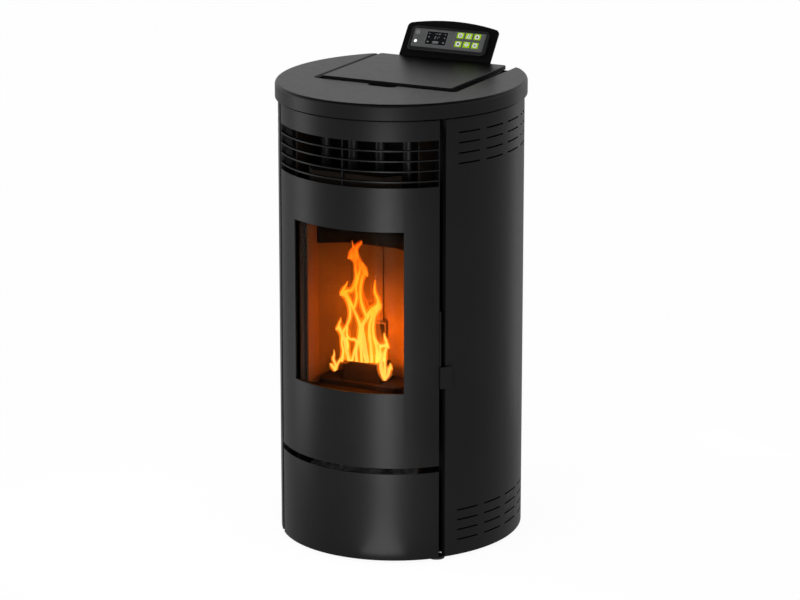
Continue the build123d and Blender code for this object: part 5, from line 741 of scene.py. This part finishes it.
BODIES = {
    "main_column": (
        2,
        (590, 1150, 150), (560, 1010, 128), (545, 880, 112), (545, 740, 96), (520, 620, 78),
        (525, 520, 46), (552, 430, 46), (525, 340, 30), (492, 270, 34), (528, 200, 20),
        (550, 168, 4),
    ),
    "left_lobe": (
        -4,
        (430, 1140, 52), (425, 1000, 46), (420, 900, 52), (395, 850, 38), (388, 800, 16),
        (396, 778, 3),
    ),
    "right_column": (
        4,
        (680, 1160, 74), (672, 1000, 62), (655, 860, 56), (655, 740, 54), (680, 670, 32),
        (668, 570, 15), (667, 480, 3),
    ),
    "right_lobe": (-8, (715, 1170, 48), (722, 1060, 44), (745, 985, 30), (738, 905, 4)),
}
THREADS = {
    "left_lobe_hook": (
        -6,
        (462, 1130, 20), (438, 1040, 19), (420, 960, 20), (400, 900, 22), (375, 862, 22),
        (350, 880, 5),
    ),
    "left_lobe_tip": (-6, (372, 872, 12), (380, 830, 12), (392, 800, 6), (396, 778, 2)),
    "left_climb": (
        -3,
        (400, 1130, 16), (408, 1050, 14), (398, 980, 12), (410, 900, 14), (440, 842, 14),
        (466, 770, 15), (466, 700, 17), (446, 630, 20), (412, 590, 24), (388, 604, 5),
    ),
    "left_climb_tip": (-4, (400, 590, 16), (418, 550, 16), (436, 520, 8), (447, 488, 2)),
    "crown_hook": (
        0,
        (400, 600, 14), (440, 570, 20), (478, 560, 20), (500, 520, 16), (514, 460, 14),
        (510, 400, 12), (506, 340, 14), (478, 296, 20), (450, 312, 4),
    ),
    "crown_left": (-2, (468, 310, 14), (476, 270, 18), (500, 235, 14), (520, 212, 8)),
    "crown_right": (
        2,
        (505, 330, 10), (512, 260, 14), (530, 212, 14), (552, 190, 10), (556, 166, 2),
    ),
    "crown_tip": (2, (500, 240, 8), (490, 205, 5), (482, 168, 1)),
    "centre_sweep": (
        6,
        (600, 1140, 30), (584, 1050, 33), (572, 960, 32), (560, 890, 30), (566, 840, 24),
        (600, 780, 24), (640, 722, 26), (684, 690, 24), (712, 718, 4),
    ),
    "centre_climb": (
        5,
        (520, 1140, 20), (514, 1060, 14), (528, 980, 14), (545, 900, 20), (540, 830, 18),
        (512, 750, 14), (484, 690, 14), (452, 630, 16), (432, 590, 12),
    ),
    "centre_stub": (8, (556, 1140, 18), (552, 1060, 16), (548, 980, 20), (560, 900, 22)),
    "centre_curl": (
        4,
        (478, 1130, 14), (500, 1050, 12), (520, 985, 14), (500, 955, 14), (466, 952, 14),
        (440, 915, 12), (446, 850, 8),
    ),
    "left_stub": (4, (452, 1130, 16), (440, 1060, 14), (444, 1000, 16), (434, 940, 14)),
    "upper_curl": (
        4,
        (600, 780, 14), (572, 710, 18), (552, 640, 16), (548, 560, 16), (560, 480, 18),
        (588, 425, 18), (606, 455, 4),
    ),
    "upper_curl_tip": (6, (590, 440, 14), (588, 390, 14), (570, 350, 6), (562, 338, 1)),
    "upper_cross": (6, (586, 430, 12), (556, 360, 16), (530, 300, 14), (520, 250, 10)),
    "upper_climb": (
        8,
        (500, 700, 14), (520, 620, 14), (516, 540, 12), (530, 460, 12), (545, 400, 12),
        (536, 340, 8),
    ),
    "right_inner_climb": (
        6,
        (640, 1140, 20), (636, 1040, 17), (622, 940, 18), (618, 850, 16), (640, 770, 16),
        (660, 700, 16),
    ),
    "right_outer_climb": (
        4,
        (676, 1140, 20), (676, 1030, 18), (656, 930, 16), (650, 840, 15), (662, 760, 16),
        (694, 700, 20), (700, 660, 10),
    ),
    "right_tip": (5, (700, 690, 18), (684, 630, 16), (664, 570, 10), (666, 478, 2)),
    "right_lobe_hook": (
        3,
        (650, 930, 10), (690, 990, 14), (720, 1010, 16), (756, 1000, 18), (782, 1026, 4),
    ),
    "right_lobe_tip": (3, (764, 1004, 14), (752, 960, 14), (738, 925, 8), (737, 900, 2)),
    "right_lobe_climb": (0, (740, 1130, 20), (742, 1060, 17), (760, 1010, 12)),
    "right_stub": (0, (706, 1130, 22), (706, 1060, 18), (700, 1000, 12)),
    "low_right_climb": (
        -46,
        (738, 1282, 12), (722, 1220, 22), (712, 1160, 22), (722, 1100, 18), (738, 1060, 10),
    ),
    "low_right_hook": (
        -46,
        (742, 1284, 10), (770, 1230, 20), (782, 1180, 16), (800, 1190, 5), (806, 1200, 2),
    ),
    "low_right_tip": (-46, (780, 1200, 12), (790, 1165, 12), (784, 1142, 3)),
    "low_right_stub": (
        -46,
        (740, 1270, 12), (745, 1200, 18), (742, 1150, 14), (748, 1110, 6),
    ),
    "low_left_hook": (-14, (346, 1206, 14), (324, 1170, 18), (310, 1150, 8), (304, 1158, 2)),
    "low_left_climb": (
        -14,
        (352, 1200, 12), (348, 1150, 14), (334, 1110, 14), (340, 1070, 8), (337, 1034, 1),
    ),
    "low_left_sweep": (
        -14,
        (352, 1190, 12), (368, 1150, 12), (392, 1112, 12), (420, 1100, 6),
    ),
}


def control_points(back, *sketched):
    """Rows of side, rise, back and half width in millimetres, from a tongue's sketch."""
    rows = []
    for right, down, half in sketched:
        pixel_x = SKETCH_LEFT_PIXEL + right / STEPS_PER_PIXEL
        pixel_y = SKETCH_TOP_PIXEL + down / STEPS_PER_PIXEL
        side = round((pixel_x - FOOT_PIXEL_X) / PIXELS_PER_SIDE)
        rise = round((FOOT_PIXEL_Y - pixel_y - PIXELS_PER_BACK * back) / PIXELS_PER_RISE)
        half_width = round(half / (STEPS_PER_PIXEL * PIXELS_PER_SIDE), 1)
        rows.append((side, rise, back, max(half_width, LEAST_HALF_WIDTH)))
    return rows


# --- Fire: shapes -----------------------------------------------------------------------
TONGUE_ROWS = 34
TONGUE_SIDES = 14
TONGUE_FLATNESS = 0.55  # depth, as a share of the width
AIM_STEP = 0.02  # share of the tongue over which its direction is taken
THINNEST = 0.05


def along(points, share):
    """The point at a share of the way along a smooth curve through control points."""
    last = len(points) - 1
    place = share * last
    first = min(int(place), last - 1)
    t = place - first
    before, start, end, after = (
        Vector(points[max(0, min(last, first + step))]) for step in (-1, 0, 1, 2)
    )
    return 0.5 * (
        2 * start
        + (end - before) * t
        + (2 * before - 5 * start + 4 * end - after) * t * t
        + (3 * start - before - 3 * end + after) * t * t * t
    )


def tongue(bm, points, swell):
    """A pointed tongue along its control points, swell times as wide as they say."""
    loops = []
    for row in range(TONGUE_ROWS):
        share = row / (TONGUE_ROWS - 1)
        side, rise, back, half = along(points, share)
        ahead = along(points, min(1.0, share + AIM_STEP))
        behind = along(points, max(0.0, share - AIM_STEP))
        run = Vector((ahead[0] - behind[0], ahead[1] - behind[1])).normalized()
        half = max(half, THINNEST) * swell
        loop = []
        for k in range(TONGUE_SIDES):
            angle = 2 * math.pi * k / TONGUE_SIDES
            across, deep = math.cos(angle) * half, math.sin(angle) * half * TONGUE_FLATNESS
            place = fire(side + across * run.y, rise - across * run.x, back + deep)
            loop.append(bm.verts.new(place))
        loops.append(loop)
    wrap(bm, loops)
    bm.faces.new(loops[-1])
    bm.faces.new(loops[0][::-1])


def flames(name, sketches, material, swell):
    """One layer of tongues, which rides on the burn pot."""
    bm = bmesh.new()
    for sketch in sketches.values():
        tongue(bm, control_points(*sketch), swell)
    made = piece(name, bm, material, "burn_pot")
    smooth(made)
    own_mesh(made)


# --- Fire: glow -------------------------------------------------------------------------
HOT_BELOW = 0.02  # metres below the pot's rim, where the gas is hottest
COOL_ABOVE = 0.24  # metres above the pot's rim, where it is coolest
STREAK_HEAT = 0.12  # how far a streak shifts the heat
STREAK_GLOW = 0.3  # share by which a streak changes the glow


def flame_material(name, tips, middle, foot, strength, clear=True):
    """Glowing gas, hottest near the foot; clear gas lets what is behind it show."""
    finish = Finish(name)
    band = (FIRE_FOOT.z - HOT_BELOW, FIRE_FOOT.z + COOL_ABOVE)
    heat = finish.level(finish.height(), 1.0, 0.0, band)
    upwards = finish.stretched((1.0, 1.0, 0.2))
    streak = finish.noise(90.0, roughness=0.5, at=upwards, distortion=0.4)
    shift = finish.level(streak, -STREAK_HEAT, STREAK_HEAT, MIDDLE)
    mixed = finish.maths("ADD", heat, shift)
    glow = finish.node("ShaderNodeEmission")
    glow.inputs["Strength"].default_value = strength
    finish.link(
        finish.ramp(mixed, (0.0, tips), (0.36, middle), (0.85, foot)), glow.inputs["Color"]
    )
    surface = glow.outputs["Emission"]
    if clear:
        dim, bright = (1 - STREAK_GLOW) * strength, (1 + STREAK_GLOW) * strength
        streaked = finish.level(streak, dim, bright, MIDDLE)
        finish.link(streaked, glow.inputs["Strength"])
        both = finish.node("ShaderNodeAddShader")
        finish.link(finish.node("ShaderNodeBsdfTransparent").outputs["BSDF"], both.inputs[0])
        finish.link(surface, both.inputs[1])
        surface = both.outputs["Shader"]
    finish.link(surface, finish.output.inputs["Surface"])
    finish.glow_only()
    return finish.material


skin_gas = flame_material(
    "skin_gas",
    tips=(0.7, 0.05, 0.001),
    middle=(0.8, 0.11, 0.002),
    foot=(0.9, 0.17, 0.003),
    strength=0.38,
)
veil_gas = flame_material(
    "veil_gas",
    tips=(0.9, 0.1, 0.002),
    middle=(1.0, 0.15, 0.002),
    foot=(1.0, 0.19, 0.004),
    strength=0.56,
)
core_gas = flame_material(
    "core_gas",
    tips=(0.85, 0.13, 0.003),
    middle=(1.0, 0.42, 0.02),
    foot=(1.0, 0.6, 0.1),
    strength=1.65,
    clear=False,
)
flames("flame_skin", BODIES, skin_gas, 0.92)
flames("flame_body", THREADS, veil_gas, 1.4)
flames("flame_threads", THREADS, core_gas, 0.62)


# --- Burning pellets --------------------------------------------------------------------
PELLET_LAYERS = 3
PELLETS_IN_LAYER = 26
POT_INSET = 0.016
LOWEST_LAYER = 0.012  # above the pot's lowest point
LAYER_STEP = 0.0055
PELLET_R = 0.003
PELLET_LENGTHS = (0.009, 0.015)
PELLET_TILT = 14  # degrees from lying flat, at most
PELLET_SIDES = 8
PELLET_SEED = 5
PELLET_ROUGHNESS = (0.93, 1.05)  # shares of its radius
# Share of the length, and share of the radius there.
PELLET_PROFILE = ((0.0, 0.55), (0.06, 0.88), (0.14, 1.0), (0.86, 1.0), (0.94, 0.86), (1.0, 0.5))


def ember_material():
    """Charred pellets: dark crust with glowing cracks."""
    finish = Finish("ember")
    crack = finish.cells(260.0, feature="DISTANCE_TO_EDGE")
    patch = finish.noise(60.0, detail=4.0)
    near_crack = finish.level(crack, 1.0, 0.0, (0.02, 0.22))
    hot_patch = finish.level(patch, 0.0, 1.0, (0.38, 0.62))
    glow = finish.maths("MULTIPLY", near_crack, hot_patch)
    finish.tones(patch, (0.02, 0.016, 0.014), (0.11, 0.08, 0.06), (0.35, 0.65))
    red, orange, yellow = (0.5, 0.03, 0.0), (1.0, 0.2, 0.02), (1.0, 0.55, 0.12)
    glow_colour = finish.ramp(glow, (0.1, red), (0.5, orange), (0.9, yellow))
    finish.link(glow_colour, finish.shader.inputs["Emission Color"])
    finish.link(finish.level(glow, 0.0, 1.3), finish.shader.inputs["Emission Strength"])
    finish.rough(patch, 0.8, 1.0)
    finish.bump(crack, distance=0.0006, strength=0.6)
    finish.glow_only()
    return finish.material


def pellet(bm, centre, turn, length, draw):
    """A short stick with rounded, crumbled ends."""
    loops = []
    for share, wide in PELLET_PROFILE:
        loop = []
        for k in range(PELLET_SIDES):
            angle = 2 * math.pi * k / PELLET_SIDES
            radius = PELLET_R * wide * draw.uniform(*PELLET_ROUGHNESS)
            along_stick = (share - 0.5) * length
            local = Vector((radius * math.cos(angle), radius * math.sin(angle), along_stick))
            loop.append(bm.verts.new(centre + turn @ local))
        loops.append(loop)
    wrap(bm, loops)
    bm.faces.new(loops[0][::-1])
    bm.faces.new(loops[-1])


def pellet_bed(draw):
    """Layers of pellets that lie about every way in the pot."""
    bm = bmesh.new()
    for layer in range(PELLET_LAYERS):
        height = pot_low.z + LOWEST_LAYER + LAYER_STEP * layer
        for _ in range(PELLETS_IN_LAYER):
            x = draw.uniform(pot_low.x + POT_INSET, pot_high.x - POT_INSET)
            y = draw.uniform(pot_low.y + POT_INSET, pot_high.y - POT_INSET)
            heading = Matrix.Rotation(draw.uniform(0, math.pi), 3, "Z")
            lean = math.radians(90 + draw.uniform(-PELLET_TILT, PELLET_TILT))
            turn = heading @ Matrix.Rotation(lean, 3, "X")
            pellet(bm, Vector((x, y, height)), turn, draw.uniform(*PELLET_LENGTHS), draw)
    return bm


pellets = pellet_bed(random.Random(PELLET_SEED))
smooth(piece("burning_pellets", pellets, ember_material(), "burn_pot"))


# --- Floor ------------------------------------------------------------------------------
FLOOR_REACH = 30.0
FLOOR_DROP = 0.0005  # below the lowest point of the stove
FLOOR_GLOW = 0.94  # share of the plain backdrop in what the camera sees
MIRRORED_FLOOR = 0.5  # brightness of the floor in reflections
# Painted shade: the floor's glow fades out near this point, under the stove.
PAINTED_SHADE_CENTRE = (0.0, -0.022, 0.0)
PAINTED_SHADE_EDGE = (0.185, 0.205)  # distances over which the painted shade under the stove ends
DIRECT_RAY = 0.5  # diffuse depth below which a ray hasn't left a matt surface


def floor_material():
    """Pale floor that shows as the background, with a painted shade under the stove."""
    finish = Finish("pale_floor")
    rays = finish.node("ShaderNodeLightPath").outputs
    seen = finish.maths("MAXIMUM", rays["Is Camera Ray"], rays["Is Transmission Ray"])
    mirrored = finish.maths("MULTIPLY", rays["Is Glossy Ray"], MIRRORED_FLOOR)
    bright = finish.maths("MAXIMUM", seen, mirrored)
    seen_or_mirrored = finish.maths("MAXIMUM", seen, rays["Is Glossy Ray"])
    direct = finish.maths("LESS_THAN", rays["Diffuse Depth"], DIRECT_RAY)
    shown = finish.maths("MULTIPLY", seen_or_mirrored, direct)
    # Painted shade under the stove: the glow fades to nothing inside a ring around its middle.
    from_centre = finish.node("ShaderNodeVectorMath", operation="DISTANCE")
    from_centre.inputs[1].default_value = PAINTED_SHADE_CENTRE
    finish.link(finish.place, from_centre.inputs[0])
    outside_painted_shade = finish.level(from_centre.outputs["Value"], 0.0, 1.0, PAINTED_SHADE_EDGE)
    glow = finish.node("ShaderNodeEmission")
    finish.link(finish.maths("MULTIPLY", bright, outside_painted_shade), glow.inputs["Strength"])
    finish.tones(finish.noise(2.0), (0.86, 0.86, 0.86), (0.88, 0.88, 0.88))
    finish.plain(Roughness=0.9, Specular_IOR_Level=0.1)
    mix = finish.node("ShaderNodeMixShader")
    finish.link(finish.maths("MULTIPLY", shown, FLOOR_GLOW), mix.inputs["Fac"])
    finish.link(finish.shader.outputs["BSDF"], mix.inputs[1])
    finish.link(glow.outputs["Emission"], mix.inputs[2])
    finish.link(mix.outputs["Shader"], finish.output.inputs["Surface"])
    finish.glow_only()
    return finish.material


corners = [
    (x * FLOOR_REACH, y * FLOOR_REACH, 0) for x, y in ((-1, -1), (1, -1), (1, 1), (-1, 1))
]
floor_mesh = bpy.data.meshes.new("floor")
floor_mesh.from_pydata(corners, [], [(0, 1, 2, 3)])
floor_mesh.materials.append(floor_material())
floor = bpy.data.objects.new("floor", floor_mesh)
floor.location.z = cad_box[0][2] - FLOOR_DROP
bpy.context.scene.collection.objects.link(floor)


# --- World ------------------------------------------------------------------------------
CEILING_FADE = (0.38, 0.62)  # heights of the direction over which the backdrop darkens
CEILING_GLOW = 0.02
ROOM_LIGHT = 0.95


def light_world():
    """White backdrop to the eye, a dark ceiling in reflections, and an even room light."""
    world = bpy.data.worlds.new("studio")
    bpy.context.scene.world = world
    world.use_nodes = True
    tree = world.node_tree
    rays = tree.nodes.new("ShaderNodeLightPath").outputs
    split = tree.nodes.new("ShaderNodeSeparateXYZ")
    directions = tree.nodes.new("ShaderNodeTexCoord").outputs["Generated"]
    tree.links.new(directions, split.inputs["Vector"])
    ceiling = tree.nodes.new("ShaderNodeMapRange")
    ceiling.inputs["From Min"].default_value = CEILING_FADE[0]
    ceiling.inputs["From Max"].default_value = CEILING_FADE[1]
    ceiling.inputs["To Min"].default_value = 1.0
    ceiling.inputs["To Max"].default_value = CEILING_GLOW
    tree.links.new(split.outputs["Z"], ceiling.inputs["Value"])
    mirrored = math_node(tree, "MULTIPLY", rays["Is Glossy Ray"], ceiling.outputs["Result"])
    seen = math_node(tree, "MAXIMUM", rays["Is Camera Ray"], rays["Is Transmission Ray"])
    direct = math_node(tree, "LESS_THAN", rays["Diffuse Depth"], DIRECT_RAY)
    seen_or_mirrored = math_node(tree, "MAXIMUM", seen, mirrored)
    backdrop = math_node(tree, "MULTIPLY", seen_or_mirrored, direct)
    indirect = math_node(tree, "SUBTRACT", 1.0, direct)
    room = math_node(tree, "MULTIPLY", indirect, ROOM_LIGHT)
    sky = tree.nodes["Background"]
    tree.links.new(math_node(tree, "ADD", backdrop, room), sky.inputs["Strength"])
    sky.inputs["Color"].default_value = (*WHITE, 1.0)


light_world()


# --- Lamps ------------------------------------------------------------------------------
FIRE_COLOUR = (1.0, 0.25, 0.002)


def soft_box(name, azimuth, distance, centre_z, width, height, radiance, lying=False):
    """A studio lamp that faces the part, or lies face up; azimuth 0 is before the door."""
    data = bpy.data.lights.new(name, "AREA")
    data.shape = "RECTANGLE"
    data.size, data.size_y = width, height
    data.energy = radiance * math.pi * width * height
    lamp = bpy.data.objects.new(name, data)
    turn = math.radians(azimuth)
    lamp.location = (distance * math.sin(turn), -distance * math.cos(turn), centre_z)
    facing = Vector((-lamp.location.x, -lamp.location.y, 0.0)).to_track_quat("-Z", "Y")
    if lying:
        facing = facing @ Matrix.Rotation(math.radians(90), 3, "X").to_quaternion()
    lamp.rotation_euler = facing.to_euler()
    lamp.visible_camera = False
    lamp.visible_transmission = False
    bpy.context.scene.collection.objects.link(lamp)


def fire_lamp(name, place, power, radius):
    """A small lamp that carries the fire's light to the boards and the pot."""
    data = bpy.data.lights.new(name, "POINT")
    data.energy = power
    data.color = FIRE_COLOUR
    data.shadow_soft_size = radius
    lamp = bpy.data.objects.new(name, data)
    lamp.location = place
    lamp.visible_camera = False
    lamp.visible_glossy = False
    lamp.visible_transmission = False
    bpy.context.scene.collection.objects.link(lamp)


soft_box(
    "front_box", azimuth=18.5, distance=0.85, centre_z=0.385, width=0.26, height=0.77, radiance=8.0
)
soft_box(
    "front_strip",
    azimuth=18.5,
    distance=0.56,
    centre_z=0.012,
    width=0.11,
    height=0.56,
    radiance=4.6,
    lying=True,
)
soft_box(
    "left_box", azimuth=-62.0, distance=0.9, centre_z=0.56, width=0.32, height=1.1, radiance=2.6
)
soft_box(
    "rear_box", azimuth=152.0, distance=1.0, centre_z=0.56, width=0.24, height=1.1, radiance=0.6
)
fire_lamp("fire_low", fire(12, 30, -12), power=2.2, radius=0.02)
fire_lamp("fire_high", fire(-4, 110, -4), power=0.76, radius=0.02)
fire_lamp("fire_front", fire(-8, 12, -66), power=0.55, radius=0.008)
